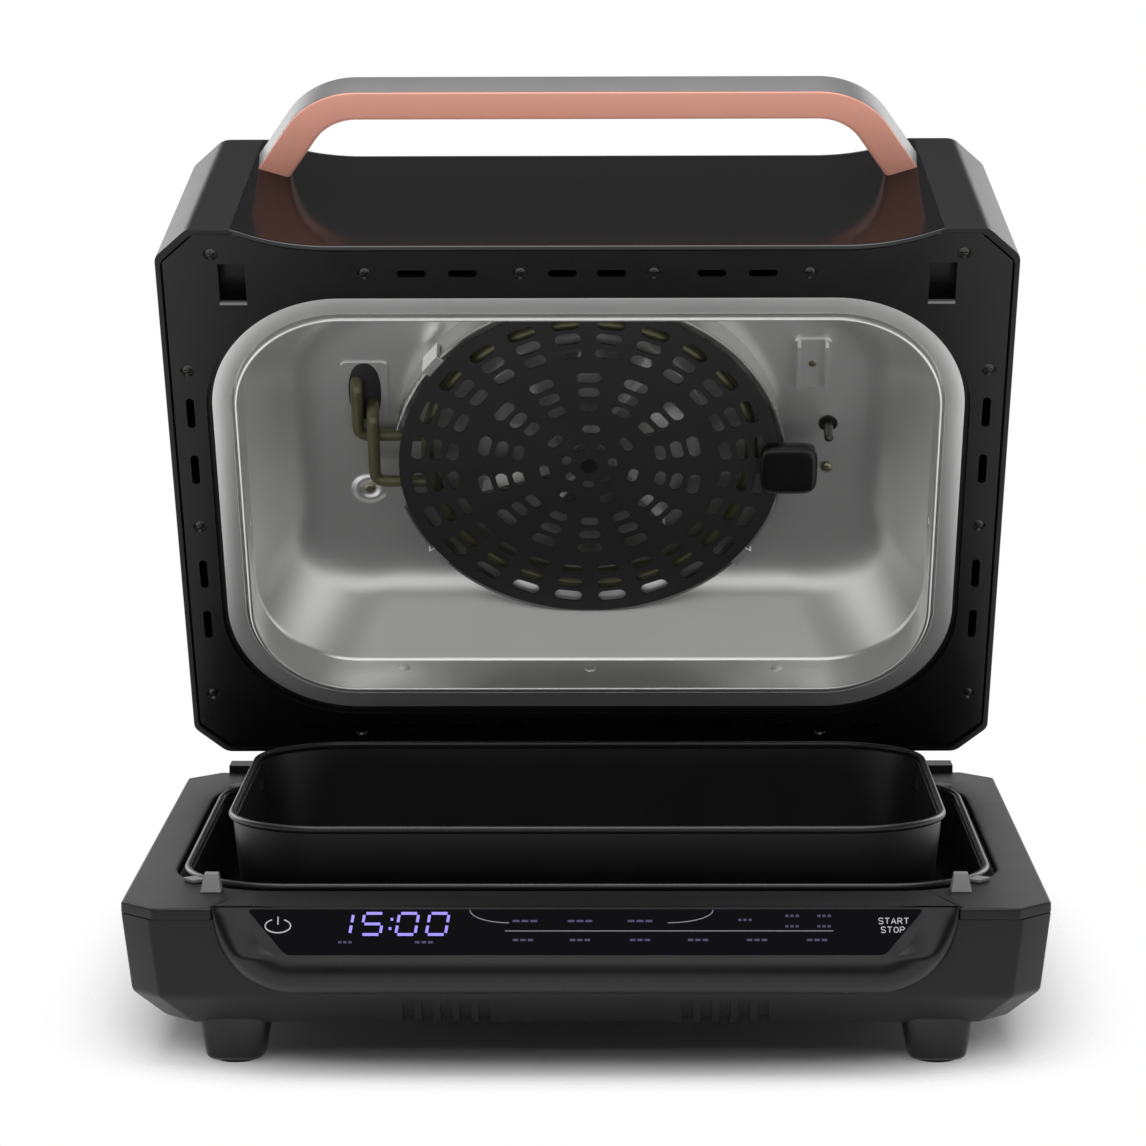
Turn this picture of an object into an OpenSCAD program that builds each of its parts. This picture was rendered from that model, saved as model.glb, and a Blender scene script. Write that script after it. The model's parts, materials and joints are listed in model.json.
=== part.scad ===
// Countertop air fryer grill: an eight-sided base with a touch fascia, a lift-out pan and pot,
// and a hinged lid that carries the heater, the fan, the splatter shield and the bar handle.
// Millimetres. +X right, +Y to the back, +Z up. The origin is on the counter, under the middle of
// the whole machine as it stands with its lid open.

/* [Base] */
// Width of the base across the deck
base_w = 420; // [390:1:450]
// Depth of the base deck, front edge to back edge
base_d = 331; // [315:1:350]
// Cut across each upright corner of the base and the lid
corner_cut = 16; // [12:1:20]
// Height of the base from its underside to the deck
base_h = 57; // [54:1:66]
// Inward lean of the base walls from the deck down to the bevel
base_draft = 4; // [2:0.5:6]
// Width of the bevel round the bottom edge
bevel_w = 14; // [10:1:16]
// Height of that bevel
bevel_h = 15; // [11:1:18]
// Thickness of the deck plate, seen as a lip along the front
deck_t = 5; // [4:0.5:6]
// Set-back of the front wall under that lip
front_step = 2; // [1:0.5:3]
// Wall of the moulded shells
wall = 2.5; // [2:0.1:3]
// Height of the feet under the base
foot_h = 20; // [16:1:26]
// Width of a foot where it meets the base
foot_w = 33; // [30:1:38]
// Width of a foot at the counter
foot_tip_w = 27; // [23:1:29]
// Spacing of the feet from side to side
foot_pitch_x = 320; // [300:2:336]
// Spacing of the feet from front to back
foot_pitch_y = 262; // [246:2:268]

/* [Controls] */
// Width of the control fascia along the deck's front edge
fascia_w = 334; // [320:1:344]
// Height of the fascia, its rolled lip included
fascia_h = 39; // [36:1:42]
// Radius of its lower corners as seen from the front
fascia_r = 36; // [32:1:38]
// Reach of the rolled lip in front of the deck edge
lip_out = 12; // [10:0.5:15]
// Height of the sloping face that carries the glass
slope_h = 20.5; // [18:0.5:22]
// Reach of the foot of that slope in front of the deck edge
slope_out = 9; // [7:0.5:10]
// Width of the control glass along its top edge
glass_w = 303; // [280:1:310]
// Thickness of the control glass
glass_t = 1.6; // [1.2:0.1:2]

/* [Pan and pot] */
// Width of the deck beside the pan's rim
deck_side = 21.5; // [18:0.5:27]
// Width of the deck in front of the pan's rim
deck_front = 41; // [38:0.5:45]
// Width of the deck behind the pan's rim
deck_rear = 26; // [24:0.5:30]
// Corner radius of the pan's rim
pan_r = 50; // [44:1:56]
// Depth of the pan below the deck
pan_deep = 41; // [36:1:42]
// Height of the pan's rim above the deck
pan_rise = 2.4; // [1.8:0.1:2.6]
// Gap between the rims of the pan and the pot at their sides
pot_side = 19.5; // [18:0.5:24]
// Gap between the rims of the pan and the pot at their front and back
pot_end = 20; // [19:0.5:24]
// Corner radius of the pot's rim
pot_r = 46; // [45:1:52]
// Height of the pot's rim above the deck
pot_rise = 25; // [18:1:27]
// Sheet thickness of the pan and of the pot
pan_t = 2; // [1.6:0.1:2.4]
// Outward lean of the pan and pot walls, in degrees
pan_lean = 6; // [3:1:8]
// Radius of the rolled rims of the pan and the pot
roll_r = 1.8; // [1.5:0.1:2.2]

/* [Lid] */
// Angle at which the lid stands open, in degrees
lid_open = 59; // [50:1:62]
// Set-back of the lid's sides from the sides of the base
lid_inset = 2.5; // [1:0.5:6]
// Height of the lid from its rim to its top
lid_h = 102; // [100:1:112]
// Height of the shoulder where the lid's walls turn in to the top
shoulder_h = 93; // [90:1:94]
// Inward lean of the lid's walls from the rim to the shoulder
lid_draft = 10.4; // [8:0.2:12]
// Gap between the closed lid's rim and the deck
lid_gap = 2; // [1.5:0.1:2.5]
// Depth of the hollow across the lid's front, which carries the gloss panel
scoop_deep = 9.9; // [7:0.1:11]
// Length of the curve at each end of that hollow
scoop_turn = 46.5; // [43:0.5:48]
// Reach of the hollow's straight middle beyond the handle's straight middle
scoop_over = 11; // [6:0.5:14]
// Distance of the hinge line behind the base
hinge_back = 8.7; // [8.4:0.1:10]
// Height of the hinge line above the deck
hinge_up = 4.15; // [3.6:0.05:5]
// Radius of the hinge knuckles
knuckle_r = 6.3; // [5.5:0.1:6.6]
// Radius of the hinge pins
pin_r = 2.5; // [2:0.1:3]
// Distance of each hinge from the middle
hinge_x = 115; // [90:1:130]
// Length of each lid knuckle along its pin
knuckle_l = 30; // [24:1:36]

/* [Handle] */
// Reach of the handle's front face in front of the lid's rim
handle_out = 35; // [31:1:42]
// Thickness of the handle bar, front to back
handle_t = 16; // [14:0.5:18]
// Height of the handle bar
handle_h = 17; // [14:0.5:18]
// Height of the bar's underside above the lid's rim
handle_z = 65; // [60:1:68]
// Length of the bar's straight middle
handle_flat = 224; // [214:1:232]
// Bend radius at the middle of the bar
handle_bend = 32; // [28:1:34]
// Turn of each bend, in degrees
handle_turn = 58; // [50:1:64]
// Thickness of the grey cap along the handle's front and top
cap_t = 2.5; // [2:0.1:3]

/* [Lid cavity] */
// Width of the bezel beside its opening
bezel_side = 19.5; // [18.5:0.5:22]
// Width of the bezel in front of and behind its opening, taken together
bezel_ends = 66; // [64:0.5:72]
// Corner radius of that opening
mouth_r = 68; // [60:1:70]
// Set-back of the bezel's face from the lid's rim
bezel_in = 1.2; // [1:0.1:2]
// Thickness of the bezel plate
bezel_t = 3; // [2.4:0.1:3.6]
// Depth of the rim ring's flange behind the bezel's face
ring_in = 8.5; // [7.5:0.1:9.5]
// Width of the black channel between the bezel and the ring
channel_w = 5.7; // [5:0.1:6]
// Width of the ring's flange
flange_w = 10; // [9:0.1:10.4]
// Height of the ring's upright wall
ring_wall = 17.5; // [15:0.5:19]
// Sheet thickness of the ring and the liner
sheet_t = 0.8; // [0.6:0.1:1]
// Height of the liner's ceiling above the bezel's face
ceiling = 60; // [58:0.5:62]
// Radius between the liner's walls and its ceiling
liner_fillet = 36; // [28:1:38]

/* [Fan and heater] */
// Radius of the perforated splatter shield
shield_r = 97; // [92:1:98]
// Sheet thickness of the shield
shield_t = 0.8; // [0.6:0.1:1.2]
// Lean of each half of the shield away from its crease, in degrees
shield_lean = 1.6; // [1:0.1:2]
// Height of the shield's crease above the bezel's face
shield_h = 39; // [36:0.5:40]
// Width of the slots in the shield
slot_w = 6.6; // [5.5:0.1:7]
// Radius of the heater's turns
heater_r = 83; // [80:1:86]
// Radius of the heater tube
tube_r = 3.1; // [2.8:0.1:3.3]
// Radius of the circulation fan
fan_r = 64; // [56:1:70]
// Number of blades on the circulation fan
fan_blades = 10; // [6:1:12]
// Radius of the motor shaft
shaft_r = 3; // [2.5:0.1:3.5]
// Radius of the fan motor's can
motor_r = 30; // [26:1:34]
// Height of the fan motor's can
motor_h = 22; // [18:0.5:22.5]

/* [Fits] */
// Gap between pieces that are fixed together
seat = 0.1; // [0.05:0.05:0.2]
// Gap between the edges of neighbouring covers
seam = 0.25; // [0.2:0.05:0.35]
// Radial clearance of a turning pin or shaft
run_gap = 0.05; // [0.03:0.01:0.08]

/* [Hidden] */
$fn = 48;
cut = 1;
deck_z = foot_h + base_h;
pan_w = base_w - 2 * deck_side;
pan_d = base_d - deck_front - deck_rear;
cook_y = deck_front + pan_d / 2;
pot_w = pan_w - 2 * pot_side;
pot_d = pan_d - 2 * pot_end;
lid_w = base_w - 2 * lid_inset;
scoop_flat = handle_flat + 2 * scoop_over;
scoop_w = scoop_flat + 2 * scoop_turn;
mouth_w = lid_w - 2 * bezel_side;
mouth_d = base_d - bezel_ends;
rim_z = deck_z + lid_gap;
bezel_z = rim_z + bezel_in;
ceiling_z = bezel_z + ceiling;
hinge_y = base_d + hinge_back;
hinge_z = deck_z + hinge_up;
shoulder_r = 15.6;
back_turn = 45;
back_z = lid_gap + shoulder_h + (lid_h - shoulder_h) * sin(back_turn) - hinge_up;
back_in = hinge_back + lid_draft + shoulder_r * (1 - cos(back_turn));
y_back = hinge_y + back_z * sin(lid_open) - back_in * cos(lid_open);
y_mid = (y_back - lip_out) / 2;
charcoal = [0.16, 0.16, 0.17];
black = [0.06, 0.06, 0.065];
steel = [0.72, 0.72, 0.73];
copper = [0.80, 0.50, 0.42];

// Places a base piece, drawn with its front edge at y = 0, in the machine's frame
module on_base() {
    translate([0, -y_mid, 0]) children();
}

// Places a lid piece, drawn closed, at the angle at which the lid stands open
module on_lid() {
    on_base()
        translate([0, hinge_y, hinge_z])
            rotate([-lid_open, 0, 0])
                translate([0, -hinge_y, -hinge_z])
                    children();
}

// Copies the children to the left and right sides
module both_sides() {
    children();
    mirror([1, 0, 0]) children();
}

// Rounded rectangle centred on the origin
module rounded(w, d, r) {
    square([w - 2 * r, d], center = true);
    square([w, d - 2 * r], center = true);
    for (x = [-1, 1], y = [-1, 1])
        translate([x * (w / 2 - r), y * (d / 2 - r)]) circle(r);
}

// Flat frame between two rounded rectangles, the inner one a wall of t inside
module frame(w, d, r, t) {
    difference() {
        rounded(w, d, r);
        rounded(w - 2 * t, d - 2 * t, r - t);
    }
}

// Round bead that follows a rounded rectangle
module bead(w, d, r, s) {
    for (x = [0, 1], y = [0, 1])
        mirror([x, 0, 0]) mirror([0, y, 0]) translate([w / 2 - r, d / 2 - r, 0])
            rotate_extrude(angle = 90) translate([r, 0]) circle(s, $fn = 16);
    for (x = [-1, 1])
        translate([x * w / 2, 0, 0]) rotate([90, 0, 0])
            cylinder(h = d - 2 * r, r = s, center = true, $fn = 16);
    for (y = [-1, 1])
        translate([0, y * d / 2, 0]) rotate([0, 90, 0])
            cylinder(h = w - 2 * r, r = s, center = true, $fn = 16);
}

function arc(cx, cy, r, a0, a1, n = 8) =
    [for (i = [0:n]) let (a = a0 + (a1 - a0) * i / n) [cx + r * cos(a), cy + r * sin(a)]];

// Section of a drawn sheet wall: floor, fillet and a wall that leans out to radius rt
function drawn_wall(rt, deep, t, fillet, lean) =
    let (rc = rt - (deep - fillet) * tan(lean) - fillet / cos(lean))
    concat(
        [[0, 0]],
        arc(rc, fillet, fillet, -90, -lean),
        [[rt, deep], [rt - t / cos(lean), deep]],
        arc(rc, fillet, fillet - t, -lean, -90),
        [[0, t]]
    );

// Drawn sheet tray, its floor at z = 0 and its outer rim w by d at the top
module drawn_tray(w, d, r, deep, t, fillet, lean) {
    section = drawn_wall(r, deep, t, fillet, lean);
    cx = w / 2 - r;
    cy = d / 2 - r;
    for (x = [0, 1], y = [0, 1])
        mirror([x, 0, 0]) mirror([0, y, 0]) translate([cx, cy, 0])
            rotate_extrude(angle = 90) polygon(section);
    for (x = [0, 1])
        mirror([x, 0, 0]) translate([cx, cy, 0]) rotate([90, 0, 0])
            linear_extrude(2 * cy) polygon(section);
    for (y = [0, 1])
        mirror([0, y, 0]) translate([-cx, cy, 0]) rotate([90, 0, 90])
            linear_extrude(2 * cx) polygon(section);
    translate([-cx, -cy, 0]) cube([2 * cx, 2 * cy, t]);
}

// Faces of a skin over rows of n points each
function skin_sides(n, rows) = [for (k = [0:rows - 2], i = [0:n - 1])
    [k * n + i, (k + 1) * n + i, (k + 1) * n + (i + 1) % n, k * n + (i + 1) % n]];

// Its two ends, for a section that can be seen whole from its first point
function skin_ends(n, rows) = [
    [for (i = [0:n - 1]) i],
    [for (i = [0:n - 1]) (rows - 1) * n + (n - i) % n]
];

// Its two ends, for a band whose second half of points runs back beside the first
function band_ends(n, rows) = let (last = (rows - 1) * n) concat(
    [for (i = [0:n / 2 - 2]) [i, i + 1, n - 2 - i, n - 1 - i]],
    [for (i = [0:n / 2 - 2]) [last + n - 1 - i, last + n - 2 - i, last + i + 1, last + i]]
);

function stack_points(stack) = [for (s = stack, p = s[1]) [p[0], p[1], s[0]]];

// Solid through a stack of outlines that have the same number of points, each [z, points]
module loft(stack) {
    n = len(stack[0][1]);
    rows = len(stack);
    polyhedron(stack_points(stack), concat(skin_sides(n, rows), skin_ends(n, rows)), convexity = 6);
}

module band_loft(stack) {
    n = len(stack[0][1]);
    rows = len(stack);
    polyhedron(stack_points(stack), concat(skin_sides(n, rows), band_ends(n, rows)), convexity = 6);
}

function unit(v) = v / norm(v);

// Directions along a path, and a cross direction carried along it without twist
function along(path) = [for (i = [0:len(path) - 1])
    unit(path[min(i + 1, len(path) - 1)] - path[max(i - 1, 0)])];
function carried(dirs, start) = [for (i = 0, n = start; i < len(dirs);
    i = i + 1, n = i < len(dirs) ? unit(n - (n * dirs[i]) * dirs[i]) : n) n];

// Solid swept along a path by a closed section of [across, up] points
module sweep(path, section, across) {
    dirs = along(path);
    sides = carried(dirs, across);
    points = [for (i = [0:len(path) - 1], s = section)
        path[i] + s[0] * sides[i] + s[1] * cross(dirs[i], sides[i])];
    n = len(section);
    polyhedron(points, concat(skin_sides(n, len(path)), skin_ends(n, len(path))), convexity = 6);
}

// Path through corner points, each inner corner rounded off over a length of b
function rounded_path(p, b, n = 5) = concat(
    [p[0]],
    [for (i = [1:len(p) - 2], k = [0:n]) let (
        a = p[i] + b * unit(p[i - 1] - p[i]),
        c = p[i] + b * unit(p[i + 1] - p[i]),
        t = k / n) (1 - t) * (1 - t) * a + 2 * t * (1 - t) * p[i] + t * t * c],
    [p[len(p) - 1]]
);

// Outline of the base, i inside the deck's edge, with its front set back by f
function base_outline(i, f = 0) =
    let (hw = base_w / 2 - i, y1 = base_d - i, c = corner_cut)
    [[-hw + c - f, i + f], [hw - c + f, i + f], [hw, i + c], [hw, y1 - c],
     [hw - c, y1], [-hw + c, y1], [-hw, y1 - c], [-hw, i + c]];

house_top = deck_z - deck_t - seat;
house_stack = [
    [foot_h, base_outline(base_draft + bevel_w, front_step)],
    [foot_h + bevel_h, base_outline(base_draft, front_step)],
    [house_top, base_outline(0, front_step)]
];
hollow_stack = [
    [foot_h + wall, base_outline(base_draft + bevel_w + wall / 2, front_step)],
    [foot_h + bevel_h + wall / 2, base_outline(base_draft + wall, front_step)],
    [house_top + cut, base_outline(wall, front_step)]
];
plate_w = base_w - 2 * (base_draft + bevel_w) - 70;
plate_d = foot_pitch_y - foot_w - 20;
plate_t = 1.5;
plate_lap = 8;
vent_x = 63;
vent_pitch = 8.6;
vent_w = 5.2;
vent_deep = 5;
gland_x = -120;
gland_z = deck_z - 32;
gland_r = 6.5;
window_x = 130;
window_h = 16;

// Lower shell of the base, open at the top, with vents along the front of its bottom edge
module base_housing() color(black) on_base() difference() {
    loft(house_stack);
    loft(hollow_stack);
    translate([0, base_d / 2, foot_h - cut])
        linear_extrude(wall + 2 * cut)
            square([plate_w - 2 * plate_lap, plate_d - 2 * plate_lap], center = true);
    translate([0, base_d / 2, foot_h - cut])
        linear_extrude(plate_t + cut) square([plate_w, plate_d], center = true);
    both_sides() for (k = [-2:2])
        translate([vent_x + k * vent_pitch - vent_w / 2, 0, foot_h - cut])
            cube([vent_w, base_draft + bevel_w + front_step + vent_deep, wall + cut + vent_deep / 2]);
    translate([-fascia_w / 2 - seam, 0, fascia_top - fascia_h])
        cube([fascia_w + 2 * seam, fascia_back + seat, fascia_h]);
    translate([-window_x, 0, house_top - window_h])
        cube([2 * window_x, 2 * wall + base_draft + front_step, window_h + cut]);
    translate([gland_x, base_d + cut, gland_z]) rotate([90, 0, 0])
        cylinder(h = base_draft + 2 * wall + cut, r = gland_r);
    screw_places() translate([0, 0, foot_h - cut]) cylinder(h = wall + 2 * cut, r = screw_r + seat);
}

screw_r = 1.6;
screw_head_r = 3.2;
screw_head_h = 1.3;

// Places of the screws through the bottom plate's edge
module screw_places() {
    for (x = [-1, 0, 1], y = [-1, 1])
        translate([x * (plate_w - plate_lap) / 2, base_d / 2 + y * (plate_d - plate_lap) / 2, 0])
            children();
}

slot_rows = 7;
slot_pitch = 10;
slot_gap = 4;
slot_l = 60;

// Removable plate under the base, with two banks of cooling slots
module bottom_plate() color(black) on_base() translate([0, base_d / 2, foot_h])
    linear_extrude(plate_t - seat) difference() {
        square([plate_w - 2 * seam, plate_d - 2 * seam], center = true);
        both_sides() for (k = [0:slot_rows - 1])
            translate([plate_w / 4, (k - (slot_rows - 1) / 2) * slot_pitch])
                square([slot_l, slot_gap], center = true);
        translate([0, -base_d / 2]) screw_places() circle(screw_r + seat);
    }

module base_screws() color(steel) on_base() screw_places() {
    translate([0, 0, foot_h - screw_head_h - seat]) cylinder(h = screw_head_h, r = screw_head_r);
    translate([0, 0, foot_h - screw_head_h]) cylinder(h = screw_head_h + wall + 3, r = screw_r);
}

open_gap = 3;
open_w = pan_w + 2 * open_gap;
open_d = pan_d + 2 * open_gap;
open_r = pan_r + open_gap;
fascia_back = 3.2;
fascia_rise = 0.6;
fascia_top = deck_z + fascia_rise;

// Deck plate round the pan's opening, notched for the fascia
module base_deck() color(charcoal) on_base() translate([0, 0, deck_z - deck_t])
    linear_extrude(deck_t) difference() {
        polygon(base_outline(0));
        translate([0, cook_y]) rounded(open_w, open_d, open_r);
        translate([-fascia_w / 2 - seam, -cut]) square([fascia_w + 2 * seam, fascia_back + seam + cut]);
    }

// Reach of the fascia's skin in front of the deck edge, at s in from its outline and height z
lip_round = 9;
lip_band = fascia_h - slope_h;
function lip_reach(s) = s < lip_round
    ? lip_out * sqrt(1 - pow(1 - s / lip_round, 2))
    : lip_out - (lip_out - slope_out) * pow((s - lip_round) / (lip_band - lip_round), 2);
function fascia_chain(s) =
    let (hw = fascia_w / 2 - s, low = fascia_top - fascia_h + s, r = fascia_r - s)
    concat(
        [[-hw, fascia_top]],
        arc(-hw + r, low + r, r, 180, 270),
        arc(hw - r, low + r, r, 270, 360),
        [[hw, fascia_top]]
    );
function fascia_row(s) = [for (p = fascia_chain(s))
    [p[0], -lip_reach(s) * min(1, (fascia_top - p[1]) / slope_h), p[1]]];

// Boat-shaped fascia: a rolled lip round the sides and bottom of a sloping face
module fascia_solid() {
    insets = [0, 0.02, 0.08, 0.2, 0.36, 0.55, 0.78, 1];
    chain = fascia_chain(0);
    n = len(chain);
    rows = len(insets);
    points = concat(
        [for (p = chain) [p[0], fascia_back, p[1]]],
        [for (k = insets, p = fascia_row(k * lip_band)) p]
    );
    sides = [for (k = [0:rows - 1], i = [0:n - 2])
        [k * n + i, (k + 1) * n + i, (k + 1) * n + i + 1, k * n + i + 1]];
    rear = [for (i = [0:n - 1]) i];
    face = [for (i = [0:n - 1]) rows * n + n - 1 - i];
    top = concat([for (k = [0:rows]) k * n + n - 1], [for (k = [rows:-1:0]) k * n]);
    polyhedron(points, concat([rear], sides, [face], [top]), convexity = 6);
}

slope_a = atan(slope_out / slope_h);
slope_l = norm([slope_out, slope_h]);
glass_edge = 0.8;
glass_taper = 0.85;
glass_h = slope_l - 2 * glass_edge;

// Puts a flat outline, drawn below the x axis, on the fascia's sloping face
module on_slope() {
    on_base() translate([0, 0, fascia_top]) rotate([90 - slope_a, 0, 0]) children();
}

// Outline of the glass, which narrows downward, grown by a gap
module glass_outline(grow) {
    top = glass_w / 2 + grow;
    low = glass_w / 2 - glass_h * glass_taper + grow;
    foot = -glass_h - grow;
    translate([0, -glass_edge]) polygon([[-top, grow], [top, grow], [low, foot], [-low, foot]]);
}

board_w = 240;
board_h = 13;
board_t = 1.6;
board_z = fascia_top - slope_h + 3;

module front_fascia() color(charcoal) difference() {
    on_base() fascia_solid();
    on_slope() translate([0, 0, -glass_t - seat])
        linear_extrude(glass_t + cut) glass_outline(seat);
    on_base() translate([-board_w / 2 - seam, fascia_back - board_t - 2 * seat, board_z - seam])
        cube([board_w + 2 * seam, board_t + cut, board_h + 2 * seam]);
}

module control_glass() color([0.03, 0.03, 0.04]) on_slope()
    translate([0, 0, -glass_t]) linear_extrude(glass_t) glass_outline(0);

// Touch and display board in the pocket behind the glass
module touch_board() color([0.05, 0.25, 0.12]) on_base()
    translate([-board_w / 2, fascia_back - board_t - seat, board_z]) cube([board_w, board_t, board_h]);

power_w = 200;
power_h = 34;
power_y = 23;
relay = [28, 10, 16];
coil = [30, 11, 22];
can_r = 7;
part_up = 7;

// Power board on edge in the front bay, with its relay, transformer and capacitor
module power_board() color([0.05, 0.25, 0.12]) on_base() translate([0, power_y, foot_h + wall + seat]) {
    translate([-power_w / 2, 0, 0]) cube([power_w, board_t, power_h]);
    translate([-power_w / 3, board_t, part_up]) cube(relay);
    translate([power_w / 10, board_t, part_up]) cube(coil);
    translate([power_w * 0.38, board_t, power_h / 2]) rotate([-90, 0, 0]) cylinder(h = coil[1], r = can_r);
}

tub_up = 8;
tub_floor = foot_h + wall + tub_up;
tub_flange = 12;
tub_fillet = 8;
tub_lean = 2;

// Bright steel tub that hangs under the deck and holds the pan
module pan_tub() color(steel) on_base() translate([0, cook_y, 0]) {
    translate([0, 0, tub_floor]) drawn_tray(
        open_w + 2 * sheet_t, open_d + 2 * sheet_t, open_r + sheet_t, house_top - tub_floor, sheet_t,
        tub_fillet, tub_lean);
    translate([0, 0, house_top - sheet_t]) linear_extrude(sheet_t)
        frame(open_w + 2 * tub_flange, open_d + 2 * tub_flange, open_r + tub_flange, tub_flange);
}

lug_w = 7;
lug_turn = 9;
lug_rise = 1.8;
lug_at = 38;

// Pale lugs that centre the pan's four corners
module pan_lugs() color([0.62, 0.62, 0.62]) on_base() for (x = [0, 1], y = [0, 1])
    translate([0, cook_y, deck_z + seat]) mirror([x, 0, 0]) mirror([0, y, 0])
        translate([pan_w / 2 - pan_r, pan_d / 2 - pan_r, 0]) rotate([0, 0, lug_at - lug_turn / 2])
            rotate_extrude(angle = lug_turn) translate([pan_r + seam, 0]) square([lug_w, lug_rise]);

pan_z = deck_z - pan_deep;
foot_stud_r = 8;
pan_fillet = 10;
pot_fillet = 12;

// Outer pan with a rolled rim and four pressed feet
module grill_pan() color(black) on_base() translate([0, cook_y, 0]) {
    translate([0, 0, pan_z]) drawn_tray(
        pan_w - 2 * roll_r, pan_d - 2 * roll_r, pan_r - roll_r, pan_deep + pan_rise - roll_r, pan_t,
        pan_fillet, pan_lean);
    translate([0, 0, deck_z + pan_rise - roll_r])
        bead(pan_w - 2 * roll_r, pan_d - 2 * roll_r, pan_r - roll_r, roll_r);
    for (x = [-1, 1], y = [-1, 1])
        translate([x * (pan_w / 2 - pan_r), y * (pan_d / 2 - pan_r), tub_floor + sheet_t + seat])
            cylinder(h = pan_z - tub_floor - sheet_t, r = foot_stud_r);
}

pot_z = pan_z + pan_t + seat;
pot_rim = deck_z + pot_rise - roll_r;
grip_slot_l = 18;
grip_slot_h = 5;
grip_slot_down = 10;

// Inner pot with a rolled rim and four lifting slots near its corners
module cooking_pot() color(black) on_base() translate([0, cook_y, 0]) difference() {
    union() {
        translate([0, 0, pot_z]) drawn_tray(
            pot_w - 2 * roll_r, pot_d - 2 * roll_r, pot_r - roll_r, pot_rim - pot_z, pan_t,
            pot_fillet, pan_lean);
        translate([0, 0, pot_rim]) bead(pot_w - 2 * roll_r, pot_d - 2 * roll_r, pot_r - roll_r, roll_r);
    }
    for (x = [-1, 1], y = [-1, 1])
        translate([x * pot_w / 2, y * (pot_d / 2 - pot_r - grip_slot_l / 2), pot_rim - grip_slot_down])
            cube([pot_r, grip_slot_l, grip_slot_h], center = true);
}

latch_x = scoop_w / 2 + 1.5;
latch_y = 37.7;
latch_w = 9.6;
latch_h = 8;

// Wedge posts on the deck that enter the pockets in the lid
module latch_posts() color([0.55, 0.55, 0.55]) on_base() both_sides()
    translate([latch_x, latch_y, deck_z + seat]) intersection() {
        rotate([90, 0, 90]) linear_extrude(2 * latch_w, center = true) polygon([
            [-latch_w / 2, 0], [latch_w / 2, 0], [latch_w / 2, latch_h], [0, latch_h]]);
        rotate([90, 0, 0]) linear_extrude(2 * latch_w, center = true) polygon([
            [-latch_w / 2, 0], [latch_w / 2, 0], [latch_w / 3, latch_h], [-latch_w / 3, latch_h]]);
    }

bar_w = base_w - 40;
bar_d = 18;
bar_drop = 22;
bar_under = 0.7;
bar_top = hinge_up - bar_under;
ear_l = 9;
ear_gap = 0.4;
pin_l = knuckle_l + 2 * (ear_gap + ear_l);

module at_hinges() {
    both_sides() translate([hinge_x, hinge_y, hinge_z]) rotate([0, 90, 0]) children();
}

// Bar along the back of the base with the ears that carry the hinge pins
module hinge_housing() color(charcoal) on_base() difference() {
    union() {
        translate([0, base_d + seam, deck_z]) rotate([90, 0, 90]) linear_extrude(bar_w, center = true) polygon([
            [0, -bar_drop], [bar_d * 0.6, -bar_drop], [bar_d, -bar_drop * 0.6],
            [bar_d, 0], [bar_d - bar_top, bar_top], [0, bar_top]]);
        at_hinges() for (s = [-1, 1])
            translate([0, 0, s * (knuckle_l + ear_l + 2 * ear_gap) / 2])
                cylinder(h = ear_l, r = knuckle_r, center = true);
    }
    both_sides() translate([hinge_x - knuckle_l / 2 - ear_gap, base_d, hinge_z - knuckle_r - 2 * ear_gap])
        cube([knuckle_l + 2 * ear_gap, bar_d + hinge_back, 4 * knuckle_r]);
    at_hinges() cylinder(h = pin_l + seat, r = pin_r + seat / 4, center = true);
}

module hinge_pins() color(steel) on_base() at_hinges() cylinder(h = pin_l, r = pin_r, center = true);

pad_t = 1.5;
foot_round = 5;
foot_soft = 2;

// Thin slice of a foot at height z
module foot_level(z, w, r) {
    translate([0, 0, z]) linear_extrude(seat) rounded(w, w, r, $fn = 24);
}

module at_feet() {
    for (x = [-1, 1], y = [-1, 1])
        translate([x * foot_pitch_x / 2, base_d / 2 + y * foot_pitch_y / 2, 0]) children();
}

// Tapered feet, trimmed to the underside and the bevel of the base
module feet() color(black) on_base() difference() {
    at_feet() hull() {
        foot_level(pad_t, foot_tip_w - 2 * foot_soft, foot_round - foot_soft);
        foot_level(pad_t + foot_soft, foot_tip_w, foot_round);
        foot_level(foot_h + pad_t, foot_w, foot_round);
    }
    translate([0, 0, -seat]) loft(house_stack);
}

module foot_pads() color([0.1, 0.1, 0.1]) on_base() at_feet()
    cylinder(h = pad_t - seat / 2, r = foot_tip_w / 2 - 2 * foot_soft);

// Bush round the cable hole in the back wall
module cable_gland() color(black) on_base() difference() {
    translate([gland_x, base_d + gland_out, gland_z]) rotate([90, 0, 0]) {
        cylinder(h = gland_out + base_draft + 2 * wall, r = gland_r - seat);
        difference() {
            cylinder(h = gland_out + base_draft, r = gland_r + 2);
            translate([0, 0, gland_out]) cylinder(h = base_draft + cut, r = gland_r - seat);
        }
    }
    difference() {
        translate([0, seat, 0]) loft(house_stack);
        translate([gland_x, base_d + gland_out, gland_z]) rotate([90, 0, 0])
            cylinder(h = 4 * gland_out, r = gland_r - seat);
    }
    translate([gland_x, base_d + gland_out + cut, gland_z]) rotate([90, 0, 0])
        cylinder(h = 4 * gland_out, r = gland_hole);
}

gland_out = 6;
gland_hole = 3.6;

// Points across the hollow in the lid's front, from left to right, i inside the rim
function scoop(i) =
    let (xs = scoop_w / 2 - 0.9 * i, xf = scoop_flat / 2 - 0.9 * i,
         r = (pow(xs - xf, 2) + pow(scoop_deep, 2)) / (2 * scoop_deep),
         a = asin((xs - xf) / r), cy = i + scoop_deep - r)
    concat(arc(-xf, cy, r, 90 + a, 90), arc(xf, cy, r, 90, 90 - a));

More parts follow.
